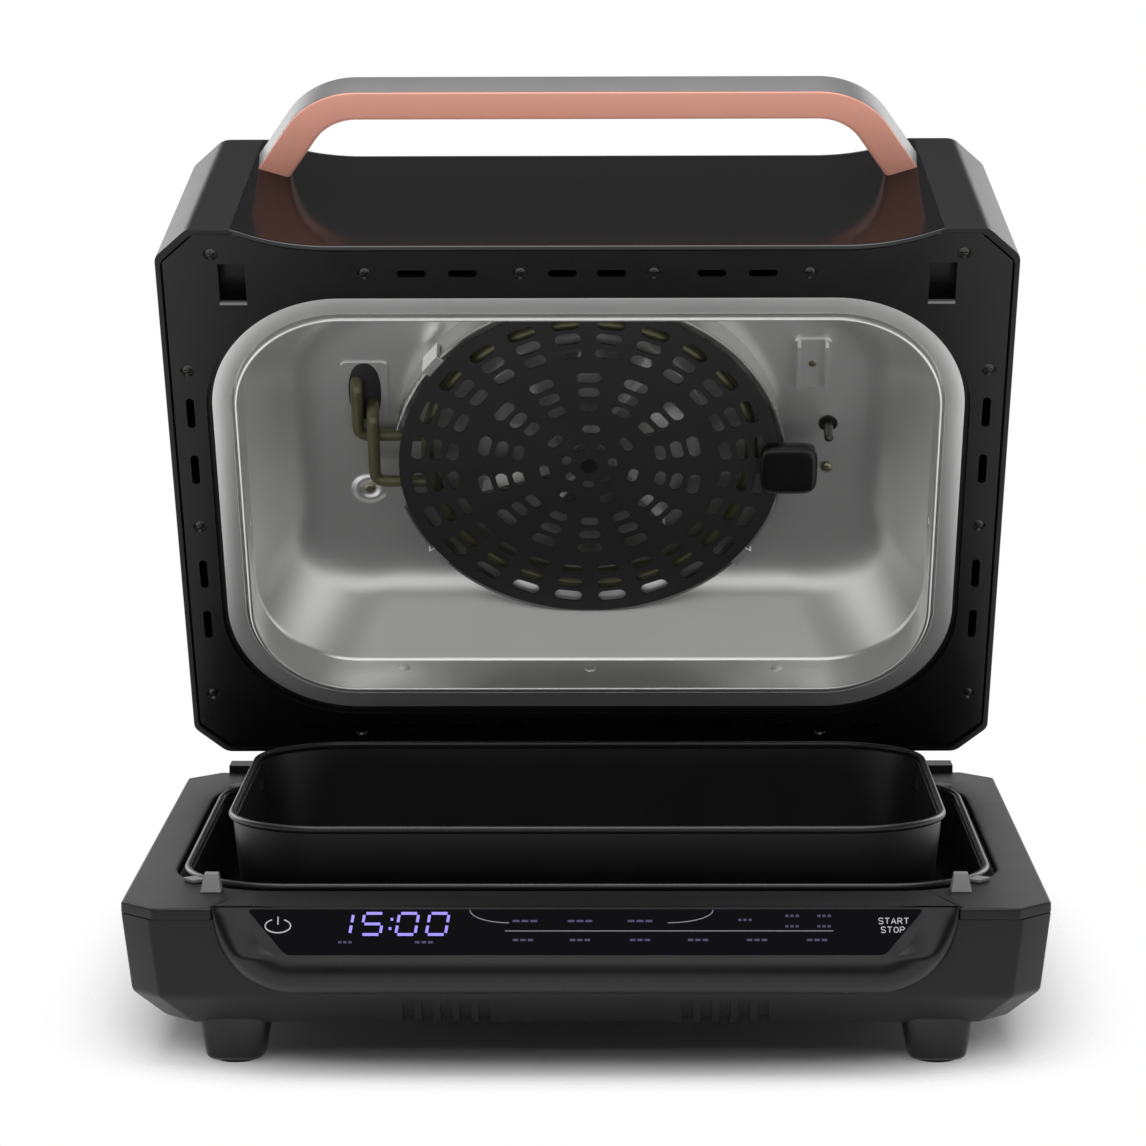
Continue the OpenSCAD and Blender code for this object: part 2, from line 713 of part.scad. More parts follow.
// Points round the right, the back and the left of the lid, i inside the rim
function lid_round(i) =
    let (hw = lid_w / 2 - i, y1 = base_d - i, c = corner_cut)
    [[hw - c, i], [hw, i + c], [hw, y1 - c], [hw - c, y1],
     [-hw + c, y1], [-hw, y1 - c], [-hw, i + c], [-hw + c, i]];
function lid_outline(i) = let (p = lid_round(i)) concat(
    [[0, base_d - i]], [p[4], p[5], p[6], p[7]], scoop(i), [p[0], p[1], p[2], p[3]]);
function reversed(p) = [for (k = [len(p) - 1:-1:0]) p[k]];

panel_turn = 22;
roof_turns = [panel_turn, 45, 68, 90];
panel_t = 2.2;
panel_side = 1.2;

// Height and inset of the lid's skin at turn a of its shoulder, t inside the skin
function skin_z(a, t = 0) = rim_z + shoulder_h + (lid_h - shoulder_h - t) * sin(a);
function skin_in(a, t = 0) = lid_draft + shoulder_r * (1 - cos(a)) + t * cos(a);
panel_z = skin_z(panel_turn);

// Half-width of the gloss panel where the skin is i inside the rim
function panel_x(i) = scoop_w / 2 + panel_side - 0.9 * i;

// Section of the cover's walls and of the gloss panel at inset i
function wall_ring(i) = let (x = panel_x(i)) concat(
    [[x, i]], lid_round(i), [[-x, i], [-x, i + wall]], reversed(lid_round(i + wall)), [[x, i + wall]]);
function panel_ring(i) = let (x = panel_x(i) - seam) concat(
    [[-x, i]], scoop(i), [[x, i], [x, i + panel_t]], reversed(scoop(i + panel_t)), [[-x, i + panel_t]]);

exhaust_n = 11;
exhaust_pitch = 14;
exhaust_w = 5;
exhaust_h = 22;
exhaust_z = rim_z + shoulder_h * 0.74;

// Outer cover of the lid, open below, with the front left open for the gloss panel
module lid_cover() color(charcoal) on_lid() difference() {
    union() {
        band_loft([[rim_z, wall_ring(0)], [rim_z + shoulder_h, wall_ring(lid_draft)],
            [panel_z, wall_ring(skin_in(panel_turn))]]);
        difference() {
            loft([for (a = roof_turns) [skin_z(a), lid_outline(skin_in(a))]]);
            loft([for (a = roof_turns) [skin_z(a, wall), lid_outline(skin_in(a, wall))]]);
        }
        at_side_screws() boss(lid_w / 2 - side_screw_x - wall_mid);
        at_corner_screws() boss(corner_screw_y - wall_mid);
        at_rear_screws() boss(rear_screw_in - wall_mid);
    }
    for (k = [0:exhaust_n - 1])
        translate([(k - (exhaust_n - 1) / 2) * exhaust_pitch, base_d - lid_draft / 2, exhaust_z])
            cube([exhaust_w, lid_draft + 5 * wall, exhaust_h], center = true);
    at_bezel_screws() translate([0, 0, boss_z - cut]) cylinder(h = boss_h, r = bezel_screw_r + seat / 2);
}

// Gloss panel set in the hollow of the lid's front
module lid_front_panel() color(black) on_lid() difference() {
    union() {
        band_loft([[rim_z, panel_ring(0)], [rim_z + shoulder_h, panel_ring(lid_draft)],
            [panel_z - seam, panel_ring(skin_in(panel_turn))]]);
        at_front_screws() boss(front_screw_y - scoop_deep - wall_mid);
    }
    at_front_screws() translate([0, 0, boss_z - cut]) cylinder(h = boss_h, r = bezel_screw_r + seat / 2);
    at_handle_screws() cylinder(h = handle_screw_l, r = screw_r + seat, center = true);
}

// Solid of the lid's outer shape up to the shoulder, which trims the handle's legs
module lid_front_solid() {
    loft([[rim_z, lid_outline(-seat)], [rim_z + shoulder_h, lid_outline(lid_draft - seat)]]);
}

bezel_edge = wall + seam + lid_draft * (bezel_in + bezel_t + wall) / shoulder_h;
bezel_screw_r = 1.5;
boss_z = bezel_z + bezel_t + seat;
boss_h = 12;
boss_r = 4;
pocket_w = 13;
pocket_d = 24;
pocket_y = 32.5;
pocket_h = 11;
pocket_t = 1.5;
vent_slot_w = 4;
vent_slot_l = 14;
side_slot_l = 18;
rear_slot_in = 16.5;
front_slot_shares = [0.11, 0.56, 0.79];
side_slot_shares = [0.332, 0.438, 0.64, 0.74];
rear_slot_shares = [0.34, 0.55, 0.81, 1.2];
lip_t = 2;

front_screw_x = scoop_flat * 0.435;
front_screw_y = scoop_deep + 16.5;
corner_screw_x = (scoop_w / 2 + lid_w / 2 - corner_cut) / 2;
corner_screw_y = 15;
side_screw_x = lid_w / 2 - 11.5;
side_screw_shares = [0.254, 0.547, 0.882];
rear_screw_x = 120;
rear_screw_in = 14;
wall_mid = wall / 2 + lid_draft * (boss_z + boss_h / 2 - rim_z) / shoulder_h;

// Screws round the bezel, each turned so that its own +Y points to the nearest lid wall
module at_front_screws() {
    for (x = [-1, -0.3, 0.3, 1])
        translate([x * front_screw_x, front_screw_y, 0]) rotate([0, 0, 180]) children();
}

module at_corner_screws() {
    for (x = [-1, 1])
        translate([x * corner_screw_x, corner_screw_y, 0]) rotate([0, 0, 180]) children();
}

module at_side_screws() {
    for (x = [-1, 1], y = side_screw_shares * base_d)
        translate([x * side_screw_x, y, 0]) rotate([0, 0, -90 * x]) children();
}

module at_rear_screws() {
    for (x = [-1, 1]) translate([x * rear_screw_x, base_d - rear_screw_in, 0]) children();
}

module at_bezel_screws() {
    at_front_screws() children();
    at_corner_screws() children();
    at_side_screws() children();
    at_rear_screws() children();
}

// Screw boss with a rib of length l to the wall behind it
module boss(l) {
    translate([0, 0, boss_z]) cylinder(h = boss_h, r = boss_r);
    translate([-boss_r / 2, 0, boss_z]) cube([boss_r, l, boss_h]);
}

module oblong(l, w) {
    square([l - w, w], center = true);
    for (s = [-1, 1]) translate([s * (l - w) / 2, 0]) circle(w / 2);
}

module at_pockets() {
    both_sides() translate([latch_x, pocket_y, 0]) children();
}

// Frame plate that closes the lid's underside round the cooking opening
module lid_bezel() color(black) on_lid() difference() {
    union() {
        translate([0, 0, bezel_z]) linear_extrude(bezel_t) polygon(lid_outline(bezel_edge));
        translate([0, cook_y, bezel_z]) linear_extrude(ring_in)
            rounded(mouth_w + 2 * lip_t, mouth_d + 2 * lip_t, mouth_r + lip_t);
        at_pockets() translate([-pocket_w / 2 - pocket_t, -pocket_d / 2 - pocket_t, bezel_z])
            cube([pocket_w + 2 * pocket_t, pocket_d + 2 * pocket_t, pocket_h + pocket_t]);
    }
    translate([0, cook_y, bezel_z - cut]) linear_extrude(ring_in + 2 * cut) rounded(mouth_w, mouth_d, mouth_r);
    at_pockets() translate([-pocket_w / 2, -pocket_d / 2, bezel_z - cut])
        cube([pocket_w, pocket_d, pocket_h + cut]);
    at_bezel_screws() {
        translate([0, 0, bezel_z - cut]) cylinder(h = screw_head_h + cut + seat, r = screw_head_r + seam);
        translate([0, 0, bezel_z]) cylinder(h = bezel_t + cut, r = bezel_screw_r + seat);
    }
    translate([0, 0, bezel_z - cut]) linear_extrude(bezel_t + 2 * cut) both_sides() {
        for (x = front_slot_shares * front_screw_x)
            translate([x, front_screw_y]) oblong(vent_slot_l, vent_slot_w);
        for (y = side_slot_shares * base_d)
            translate([side_screw_x, y]) rotate(90) oblong(side_slot_l, vent_slot_w);
        for (x = rear_slot_shares * rear_screw_x)
            translate([x, base_d - rear_slot_in]) oblong(vent_slot_l, vent_slot_w);
    }
}

module bezel_screws() color(steel) on_lid() at_bezel_screws() translate([0, 0, bezel_z]) {
    cylinder(h = screw_head_h, r = screw_head_r);
    cylinder(h = bezel_t + boss_h / 2, r = bezel_screw_r);
}

seal_in = 3.6;
ring_z = bezel_z + ring_in;
ring_w = mouth_w - 2 * channel_w;
ring_d = mouth_d - 2 * channel_w;
ring_r = mouth_r - channel_w;
inner_w = ring_w - 2 * flange_w;
inner_d = ring_d - 2 * flange_w;
inner_r = ring_r - flange_w;

// Black seal in the channel between the bezel and the ring
module rim_seal() color([0.05, 0.05, 0.05]) on_lid() translate([0, cook_y, bezel_z + seal_in])
    linear_extrude(ring_in + sheet_t - seal_in)
        frame(mouth_w - 2 * seat, mouth_d - 2 * seat, mouth_r - seat, channel_w - 2 * seat);

curl_r = 1.1;

// Bright ring round the cooking opening: flange, rolled inner edge and upright wall
module rim_ring() color(steel) on_lid() translate([0, cook_y, ring_z]) difference() {
    union() {
        linear_extrude(sheet_t) frame(ring_w, ring_d, ring_r, flange_w);
        linear_extrude(ring_wall) frame(inner_w + 2 * sheet_t, inner_d + 2 * sheet_t, inner_r + sheet_t, sheet_t);
        translate([0, 0, curl_r / 2]) bead(inner_w + 2 * curl_r, inner_d + 2 * curl_r, inner_r + curl_r, curl_r);
    }
    at_rivets() cylinder(h = 10, r = rivet_r + seat / 2, center = true);
}

rivet_r = 1.6;
rivet_head_r = 3;
rivet_head_h = 0.8;
rivet_z = ring_wall * 0.55;
rivet_x = inner_w * 0.282;
rivet_y = 20;

// Rivets through the ring's wall, each with its own +Z pointing into the opening
module at_rivets() {
    for (x = [-1, 0, 1], y = [-1, 1])
        translate([x * rivet_x, y * (inner_d / 2 + sheet_t), rivet_z]) rotate([90 * y, 0, 0]) children();
    for (x = [-1, 1])
        translate([x * (inner_w / 2 + sheet_t), rivet_y, rivet_z]) rotate([0, -90 * x, 0]) children();
}

module rim_rivets() color(steel) on_lid() translate([0, cook_y, ring_z]) at_rivets() {
    translate([0, 0, sheet_t + seat]) cylinder(h = rivet_head_h, r = rivet_head_r);
    translate([0, 0, -sheet_t - seam - rivet_head_h])
        cylinder(h = 3 * sheet_t + seam + rivet_head_h, r = rivet_r);
}

liner_w = inner_w + 4 * sheet_t + 2 * seam;
liner_d = inner_d + 4 * sheet_t + 2 * seam;
liner_r = inner_r + 2 * sheet_t + seam;
liner_z = ring_z + sheet_t + curl_r;
lead_in = [-118, -40];
lead_out = [-110, -26];
probe_at = [122, -12];
bracket_at = [113, -50];
liner_screw_at = [[122, 16], [-114, 30]];

// Drawn lining of the lid, riveted to the ring
module liner() color(steel) on_lid() translate([0, cook_y, 0]) difference() {
    translate([0, 0, ceiling_z + sheet_t]) mirror([0, 0, 1])
        drawn_tray(liner_w, liner_d, liner_r, ceiling_z + sheet_t - liner_z, sheet_t, liner_fillet, 0);
    translate([0, 0, ring_z]) at_rivets() cylinder(h = 10, r = rivet_r + seat / 2, center = true);
    translate([0, 0, ceiling_z - cut]) {
        cylinder(h = 3 * cut, r = shaft_r + 2);
        for (p = [lead_in, lead_out]) translate(p) cylinder(h = 3 * cut, r = tube_r + seat);
        translate(probe_at) cylinder(h = 3 * cut, r = probe_r + seat);
        for (p = liner_screw_at) translate(p) cylinder(h = 3 * cut, r = screw_r + seat);
        translate(bracket_at) cylinder(h = 3 * cut, r = screw_r + seat);
        at_posts() cylinder(h = 3 * cut, r = screw_r + seat);
    }
}

module liner_screws() color(steel) on_lid() translate([0, cook_y, ceiling_z]) {
    for (p = liner_screw_at) translate([p[0], p[1], -seat]) hanging_screw();
    translate([bracket_at[0], bracket_at[1], -plate_thick - 2 * seat]) hanging_screw();
    at_posts() translate([0, 0, -seat]) hanging_screw();
}

// Screw with its head below z = 0 and its shank above
module hanging_screw() {
    translate([0, 0, -screw_head_h]) cylinder(h = screw_head_h, r = screw_head_r);
    translate([0, 0, -screw_head_h]) cylinder(h = screw_head_h + 5, r = screw_r);
}

turn_low = 12;
turn_high = 5;
lead_up = 16;

// Heater tube: two turns round the fan, with both ends led up through the ceiling on the left
module heater() color([0.30, 0.30, 0.31]) on_lid() translate([0, cook_y, ceiling_z]) {
    for (z = [turn_low, turn_high])
        translate([0, 0, -z]) rotate_extrude() translate([heater_r, 0]) circle(tube_r, $fn = 16);
    translate([heater_r, 0, -turn_low]) cylinder(h = turn_low - turn_high, r = tube_r * 0.8);
    heater_lead(lead_in, turn_high, -8);
    heater_lead(lead_out, turn_low, 16);
}

// End of the tube from a ceiling hole down to the turn, joining it at height y
module heater_lead(top, drop, y) {
    ring_x = -sqrt(pow(heater_r, 2) - y * y);
    corner = [top[0], y, -drop];
    section = arc(0, 0, tube_r, 0, 337.5, 15);
    path = rounded_path([[top[0], top[1], lead_up], [top[0], top[1], -drop], corner, [ring_x, y, -drop]], 6);
    sweep(path, section, [1, 0, 0]);
}

plate_thick = 1;

// Plate under the ceiling that seals the heater's ends
module heater_plate() color(steel) on_lid() translate([0, cook_y, ceiling_z - plate_thick - seat])
    linear_extrude(plate_thick) difference() {
        translate((lead_in + lead_out) / 2) rounded(24, 36, 3);
        for (p = [lead_in, lead_out]) translate(p) circle(tube_r + seat);
    }

shield_z = bezel_z + shield_h;
shroud_in = shield_r + 1.2;
shroud_t = 1;
bend_z = ceiling_z + sheet_t - liner_fillet;
bend_r = liner_fillet - sheet_t - seat;
notch_d = 10;
notch_w = 50;
notch_front = 20;
notch_h = turn_low + tube_r + 2;
shroud_z = shield_z + shield_t + shield_r * sin(shield_lean) + 2 * seam;

// Collar round the fan and heater, shaped on top to the liner's ceiling, with a notch for the leads
module fan_shroud() color(steel) on_lid() translate([0, cook_y, 0]) difference() {
    intersection() {
        union() {
            translate([0, 0, shroud_z]) difference() {
                cylinder(h = ceiling_z - shroud_z, r = shroud_in + shroud_t);
                translate([0, 0, -cut]) cylinder(h = ceiling_z - shroud_z + 2 * cut, r = shroud_in);
            }
            translate([0, 0, shroud_z + shroud_t]) rotate_extrude()
                translate([shroud_in + shroud_t, 0]) circle(shroud_t, $fn = 16);
        }
        rotate([90, 0, 90]) linear_extrude(2 * liner_w, center = true) polygon(concat(
            [[-liner_d / 2, shroud_z - cut], [liner_d / 2, shroud_z - cut]],
            arc(liner_d / 2 - liner_fillet, bend_z, bend_r, 0, 90),
            arc(-liner_d / 2 + liner_fillet, bend_z, bend_r, 90, 180)));
    }
    translate([-shroud_in - notch_d / 2, -notch_front, ceiling_z - notch_h])
        cube([notch_d, notch_w, notch_h + cut]);
}

clip_turn = 38;
clip_w = 12;
clip_h = 9;
clip_t = 1;
clip_out = shroud_in + shroud_t + 1.2;
clip_lap = 4;
clip_side = shield_r * sin(clip_turn) + clip_w / 2 * cos(clip_turn);
clip_z = shield_z + shield_t + clip_side * tan(shield_lean) + seat;

// Spring clips on the collar, each with a foot that the shield's edge seats against
module shield_clips() color(steel) on_lid() translate([0, cook_y, 0])
    for (a = [clip_turn, 180 - clip_turn, 180 + clip_turn]) rotate([0, 0, a]) translate([0, -clip_w / 2, 0]) {
        translate([shield_r - clip_lap, 0, clip_z])
            cube([clip_out + clip_t - shield_r + clip_lap, clip_w, clip_t]);
        translate([clip_out, 0, clip_z]) cube([clip_t, clip_w, shroud_z + 2 * shroud_t + clip_h - clip_z]);
        translate([shroud_in + shroud_t + seat, 0, shroud_z + 2 * shroud_t + seat])
            cube([clip_out + clip_t - shroud_in - shroud_t - seat, clip_w, clip_h - seat]);
    }

// Ribbed bracket of the temperature sensor
module sensor_bracket() color(steel) on_lid()
    translate([bracket_at[0], cook_y + bracket_at[1], ceiling_z - plate_thick - seat]) {
        linear_extrude(plate_thick) difference() {
            rounded(2 * rib_x + 3 * rib_w, rib_l + 2 * rib_w, 3);
            circle(screw_r + seat);
        }
        for (x = [-rib_x, rib_x])
            translate([x - rib_w / 2, -rib_l / 2, -rib_h]) cube([rib_w, rib_l, rib_h + plate_thick]);
    }

rib_x = 7;
rib_w = 1.6;
rib_l = 27;
rib_h = 5;

probe_r = 2.4;
probe_l = 15;
collar_t = 1;

// Temperature probe through the ceiling
module temperature_probe() color(steel) on_lid() translate([probe_at[0], cook_y + probe_at[1], ceiling_z]) {
    translate([0, 0, -probe_l + probe_r]) cylinder(h = probe_l + 10, r = probe_r);
    translate([0, 0, -probe_l + probe_r]) sphere(probe_r);
    translate([0, 0, -collar_t - seat]) cylinder(h = collar_t, r = 2 * probe_r);
}

wool_w = 196;
wool_d = 158;
wool_t = 8;
wool_hole = 62;

// Insulation on top of the liner
module insulation() color([0.85, 0.82, 0.72]) on_lid() translate([0, cook_y, ceiling_z + sheet_t + seat])
    linear_extrude(wool_t) difference() {
        rounded(wool_w, wool_d, 20);
        circle(wool_hole);
    }

post_r = 46;
post_n = 3;
bracket_h = 12;
bracket_t = 1.5;

module at_posts() {
    for (k = [0:post_n - 1]) rotate([0, 0, 90 + k * 360 / post_n]) translate([post_r, 0, 0]) children();
}

// Bracket that stands the motor above the ceiling
module motor_bracket() color(steel) on_lid() translate([0, cook_y, ceiling_z + sheet_t + seat]) difference() {
    union() {
        translate([0, 0, bracket_h]) cylinder(h = bracket_t, r = post_r + 6);
        at_posts() cylinder(h = bracket_h + bracket_t, r = 4);
    }
    translate([0, 0, bracket_h - cut]) cylinder(h = bracket_t + 2 * cut, r = shaft_r + 3);
    at_posts() translate([0, 0, -cut]) cylinder(h = 7, r = screw_r + seat / 2);
}

motor_z = ceiling_z + sheet_t + bracket_h + bracket_t + 2 * seat;

// Fan motor, with a bore for its shaft
module fan_motor() color([0.55, 0.55, 0.56]) on_lid() translate([0, cook_y, motor_z]) difference() {
    union() {
        cylinder(h = motor_h - 3, r = motor_r);
        cylinder(h = motor_h, r = motor_r * 0.4);
    }
    translate([0, 0, -cut]) cylinder(h = motor_h - 2, r = shaft_r + run_gap);
}

shaft_z = bezel_z + 43;
shaft_top = motor_z + motor_h - 4;

module on_axis() {
    on_lid() translate([0, cook_y, 0]) children();
}

// Shaft of the motor, through the cooling fan, the ceiling and the circulation fan
module motor_shaft() color(steel) on_axis()
    translate([0, 0, shaft_z]) cylinder(h = shaft_top - shaft_z, r = shaft_r);

wheel_z = ceiling_z - 13;
wheel_h = 10;
hub_r = 9;

// Circulation fan: a disc with upright blades and a hub
module fan_impeller() color(steel) on_axis() difference() {
    union() {
        translate([0, 0, wheel_z + wheel_h - 1]) cylinder(h = 1, r = fan_r);
        translate([0, 0, wheel_z]) cylinder(h = wheel_h + 1, r = hub_r);
        for (k = [0:fan_blades - 1]) rotate([0, 0, k * 360 / fan_blades])
            translate([hub_r + 8, 0, wheel_z]) rotate([0, 0, 18]) cube([fan_r - hub_r - 12, 1, wheel_h - 0.5]);
    }
    translate([0, 0, wheel_z - cut]) cylinder(h = wheel_h + 3 * cut, r = shaft_r + seat / 4);
}

cooler_r = 38;
cooler_z = ceiling_z + 4;
cooler_h = 6.5;

// Cooling fan on the same shaft above the ceiling
module cooling_fan() color(black) on_axis() difference() {
    union() {
        translate([0, 0, cooler_z]) cylinder(h = 1, r = cooler_r);
        translate([0, 0, cooler_z]) cylinder(h = cooler_h, r = hub_r - 2);
        for (k = [0:7]) rotate([0, 0, k * 45])
            translate([hub_r, 0, cooler_z]) cube([cooler_r - hub_r - 2, 1, cooler_h]);
    }
    translate([0, 0, cooler_z - cut]) cylinder(h = cooler_h + 2 * cut, r = shaft_r + seat / 4);
}

nut_h = 3;

// Nut that holds the circulation fan on the shaft
module fan_nut() color(steel) on_axis() translate([0, 0, wheel_z - nut_h - seat]) difference() {
    cylinder(h = nut_h, r = 5.5, $fn = 6);
    translate([0, 0, -cut]) cylinder(h = nut_h + 2 * cut, r = shaft_r + seat / 4);
}

// Rings of slots in the shield: radius, count, first angle, length, share of the slot width
shield_rings = [
    [12, 7, -10, 6, 0.7], [23, 7, 15.7, 9, 0.75],
    [37, 14, 12.9, 9.5, 0.85], [45.6, 14, 12.9, 11, 0.9], [54.5, 14, 12.9, 13, 0.95],
    [69.7, 24, 7.5, 11.5, 0.9], [78.6, 24, 7.5, 13, 0.95], [87.5, 24, 7.5, 14.5, 1]
];

module shield_slots() {
    for (g = shield_rings, k = [0:g[1] - 1])
        rotate(g[2] + k * 360 / g[1]) translate([g[0], 0]) rotate(90) oblong(g[3], slot_w * g[4]);
}

// Perforated splatter shield, creased across its middle
module splatter_shield() color(black) on_axis() translate([0, 0, shield_z]) difference() {
    for (s = [0, 1]) rotate([0, 0, 180 * s]) rotate([shield_lean, 0, 0]) linear_extrude(shield_t) difference() {
        intersection() {
            circle(shield_r, $fn = 96);
            translate([-shield_r, 0]) square([2 * shield_r, shield_r]);
        }
        rotate(180 * s) shield_slots();
    }
    translate([0, 0, -cut]) cylinder(h = 3 * cut, r = rivet_hole);
}

rivet_hole = 2.2;

module shield_rivet() color(steel) on_axis() translate([0, 0, shield_z]) {
    translate([0, 0, -rivet_head_h - seat]) cylinder(h = rivet_head_h, r = rivet_head_r + 1);
    translate([0, 0, -rivet_head_h - seat])
        cylinder(h = rivet_head_h + shield_t + 4 * seat, r = rivet_hole - seat / 2);
    translate([0, 0, shield_t + 2 * seat]) cylinder(h = rivet_head_h, r = rivet_head_r + 1);
}

tab_w = 29;
tab_d = 30;
tab_t = 9;
tab_lap = 10;
tab_up = 3;
tab_round = 6;

// Grip at the right edge of the shield, clipped over the sheet
module shield_grip() color(black) on_axis() translate([shield_r, 0, shield_z]) difference() {
    translate([tab_w / 2 - tab_lap, 0, -tab_t + tab_up])
        linear_extrude(tab_t) rounded(tab_w, tab_d, tab_round);
    translate([-tab_w, 0, 0]) for (s = [-1, 1]) rotate([s * shield_lean, 0, 0])
        translate([0, s > 0 ? 0 : -tab_d, -seat]) cube([tab_w + seat, tab_d, shield_t + 2 * seat]);
}

bar_y = -handle_out + handle_t / 2;
bar_z = rim_z + handle_z;
leg_l = 34;
lip_h = 1.2;

// Runs a section of [outward, up] along the handle's middle and bends, and a second one along its legs
module handle_run(bar, leg) {
    translate([-handle_flat / 2, bar_y, bar_z]) rotate([90, 0, 90])
        linear_extrude(handle_flat) mirror([1, 0]) polygon(bar);
    both_sides() translate([handle_flat / 2, bar_y + handle_bend, bar_z]) rotate([0, 0, -90]) {
        rotate_extrude(angle = handle_turn) translate([handle_bend, 0]) polygon(bar);
        rotate([0, 0, handle_turn]) translate([handle_bend, leg_l, 0]) rotate([90, 0, 0])
            linear_extrude(leg_l + cut) polygon(leg);
    }
}

// Axes of the screws that hold the handle's legs from inside the lid
module at_handle_screws() {
    both_sides() translate([handle_flat / 2, bar_y + handle_bend, bar_z + handle_h / 2 - 1])
        rotate([0, 0, handle_turn - 90]) translate([handle_bend, leg_l - 8, 0]) rotate([90, 0, 0]) children();
}

leg_step = 0.02;
function core_section(s) = let (x = handle_t / 2, up = handle_h - cap_t) [
    [-x + s, s], [x - s, s], [x - s, lip_h - s],
    [x - cap_t - s, lip_h - s], [x - cap_t - s, up - s], [-x + s, up - s]];
function cap_section(s) = let (x = handle_t / 2, up = handle_h - cap_t + seat) [
    [x - s, lip_h + seat + s], [x - s, handle_h - s], [-x + s, handle_h - s], [-x + s, up + s],
    [x - cap_t + seat + s, up + s], [x - cap_t + seat + s, lip_h + seat + s]];

// Copper-coloured core of the handle
module handle_core() color(copper) on_lid() difference() {
    handle_run(core_section(0), core_section(leg_step));
    lid_front_solid();
    at_handle_screws() cylinder(h = handle_screw_l, r = screw_r + seat, center = true);
}

// Satin cap on the front and top of the handle
module handle_cap() color([0.5, 0.5, 0.5]) on_lid() difference() {
    handle_run(cap_section(0), cap_section(leg_step));
    lid_front_solid();
}

handle_screw_l = 40;
handle_screw_in = 7.5;

// Screws from inside the lid into the handle's legs
module handle_screws() color(steel) on_lid() at_handle_screws()
    translate([0, 0, -handle_screw_in - screw_head_h]) {
        cylinder(h = handle_screw_in + screw_head_h + 6, r = screw_r);
        cylinder(h = screw_head_h, r = screw_head_r);
    }

// Arms on the lid's back wall that end in the hinge knuckles
module hinge_arms() color(charcoal) on_lid() difference() {
    union() {
        at_hinges() cylinder(h = knuckle_l, r = knuckle_r, center = true);
        both_sides() translate([hinge_x, 0, 0]) rotate([90, 0, 90]) linear_extrude(knuckle_l, center = true)
            polygon([
                [hinge_y, hinge_z - knuckle_r * 0.5], [hinge_y + knuckle_r * 0.8, hinge_z + knuckle_r * 0.6],
                [lid_back(arm_h), rim_z + arm_h], [lid_back(arm_foot), rim_z + arm_foot]]);
    }
    at_hinges() cylinder(h = knuckle_l + 2 * cut, r = pin_r + run_gap, center = true);
}

arm_h = 34;
arm_foot = 2;
function lid_back(h) = base_d - lid_draft * h / shoulder_h + seat;

// Switch on the roof of the left pocket
module lid_switch() color(black) on_lid()
    translate([-latch_x - 6, pocket_y - 4, bezel_z + pocket_h + pocket_t + seat]) cube([12, 8, 9]);

base_housing();
bottom_plate();
base_deck();
front_fascia();
control_glass();
touch_board();
power_board();
pan_tub();
pan_lugs();
grill_pan();
cooking_pot();
latch_posts();
hinge_housing();
hinge_pins();
feet();
foot_pads();
base_screws();
cable_gland();
lid_cover();
lid_front_panel();
lid_bezel();
bezel_screws();
rim_seal();
rim_ring();
rim_rivets();
liner();
liner_screws();
heater();
heater_plate();
fan_shroud();
shield_clips();
sensor_bracket();
temperature_probe();
insulation();
motor_bracket();
fan_motor();
handle_core();
handle_cap();
handle_screws();
hinge_arms();
lid_switch();
fan_impeller();
motor_shaft();
cooling_fan();
fan_nut();
splatter_shield();
shield_rivet();
shield_grip();
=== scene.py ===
# %% [markdown]
# # A countertop air fryer grill with its lid open
# The solids of the machine were built first, in a drawing program that keeps every size exact. This lesson
# dresses them: soft edges on the moulded shells, rolled rims on the pan and pot, satin steel, copper paint
# and a lit display. The first cell loads the solids and the record that comes with them.

# %% Load the solids
import json
import bmesh
import bpy
import numpy as np
from mathutils import Matrix


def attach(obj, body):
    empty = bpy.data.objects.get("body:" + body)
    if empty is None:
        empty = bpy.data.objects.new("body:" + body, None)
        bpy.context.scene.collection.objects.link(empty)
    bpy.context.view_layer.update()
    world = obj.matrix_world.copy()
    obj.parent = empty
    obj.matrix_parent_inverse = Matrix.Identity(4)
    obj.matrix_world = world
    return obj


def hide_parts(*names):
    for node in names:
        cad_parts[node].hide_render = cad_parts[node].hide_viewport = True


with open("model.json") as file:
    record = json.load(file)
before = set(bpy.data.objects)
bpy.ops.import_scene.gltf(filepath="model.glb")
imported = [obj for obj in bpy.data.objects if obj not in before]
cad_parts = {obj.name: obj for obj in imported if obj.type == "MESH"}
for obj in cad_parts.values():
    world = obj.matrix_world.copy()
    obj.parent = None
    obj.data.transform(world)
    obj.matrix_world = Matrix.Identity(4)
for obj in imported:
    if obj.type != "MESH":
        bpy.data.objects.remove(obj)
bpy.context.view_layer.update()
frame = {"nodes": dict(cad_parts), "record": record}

# %% [markdown]
# ## The camera
# The photograph was taken from about two metres away, a little above the lid and almost square to the
# front. A long lens keeps the sides nearly parallel. The three angles turn the camera left, down and a
# touch about its own axis, and the focal length is written in pixels of the square photograph, which fixes
# the lens for any sensor.

# %% Camera
def show(name, data):
    """An object with that data, linked into the scene."""
    thing = bpy.data.objects.new(name, data)
    bpy.context.collection.objects.link(thing)
    return thing


def placed(axes, at):
    """Matrix with three axes and a place as its columns."""
    columns = np.stack(list(axes) + [np.array(at, float)], 1)
    return Matrix(np.concatenate([columns, [[0, 0, 0, 1]]]).tolist())


photo_px = 1146
focal_px = 4207.71
sensor_mm = 36.0
camera_at = np.array([0.01713, -2.04332, 0.48557])
yaw, dip, roll = np.radians([-0.6876, 7.930, -0.163])

ahead = np.array([np.sin(yaw) * np.cos(dip), np.cos(yaw) * np.cos(dip), -np.sin(dip)])
level = np.cross(ahead, [0, 0, 1])
level /= np.linalg.norm(level)
upward = np.cross(level, ahead)
side = np.cos(roll) * level + np.sin(roll) * upward
head = np.cos(roll) * upward - np.sin(roll) * level

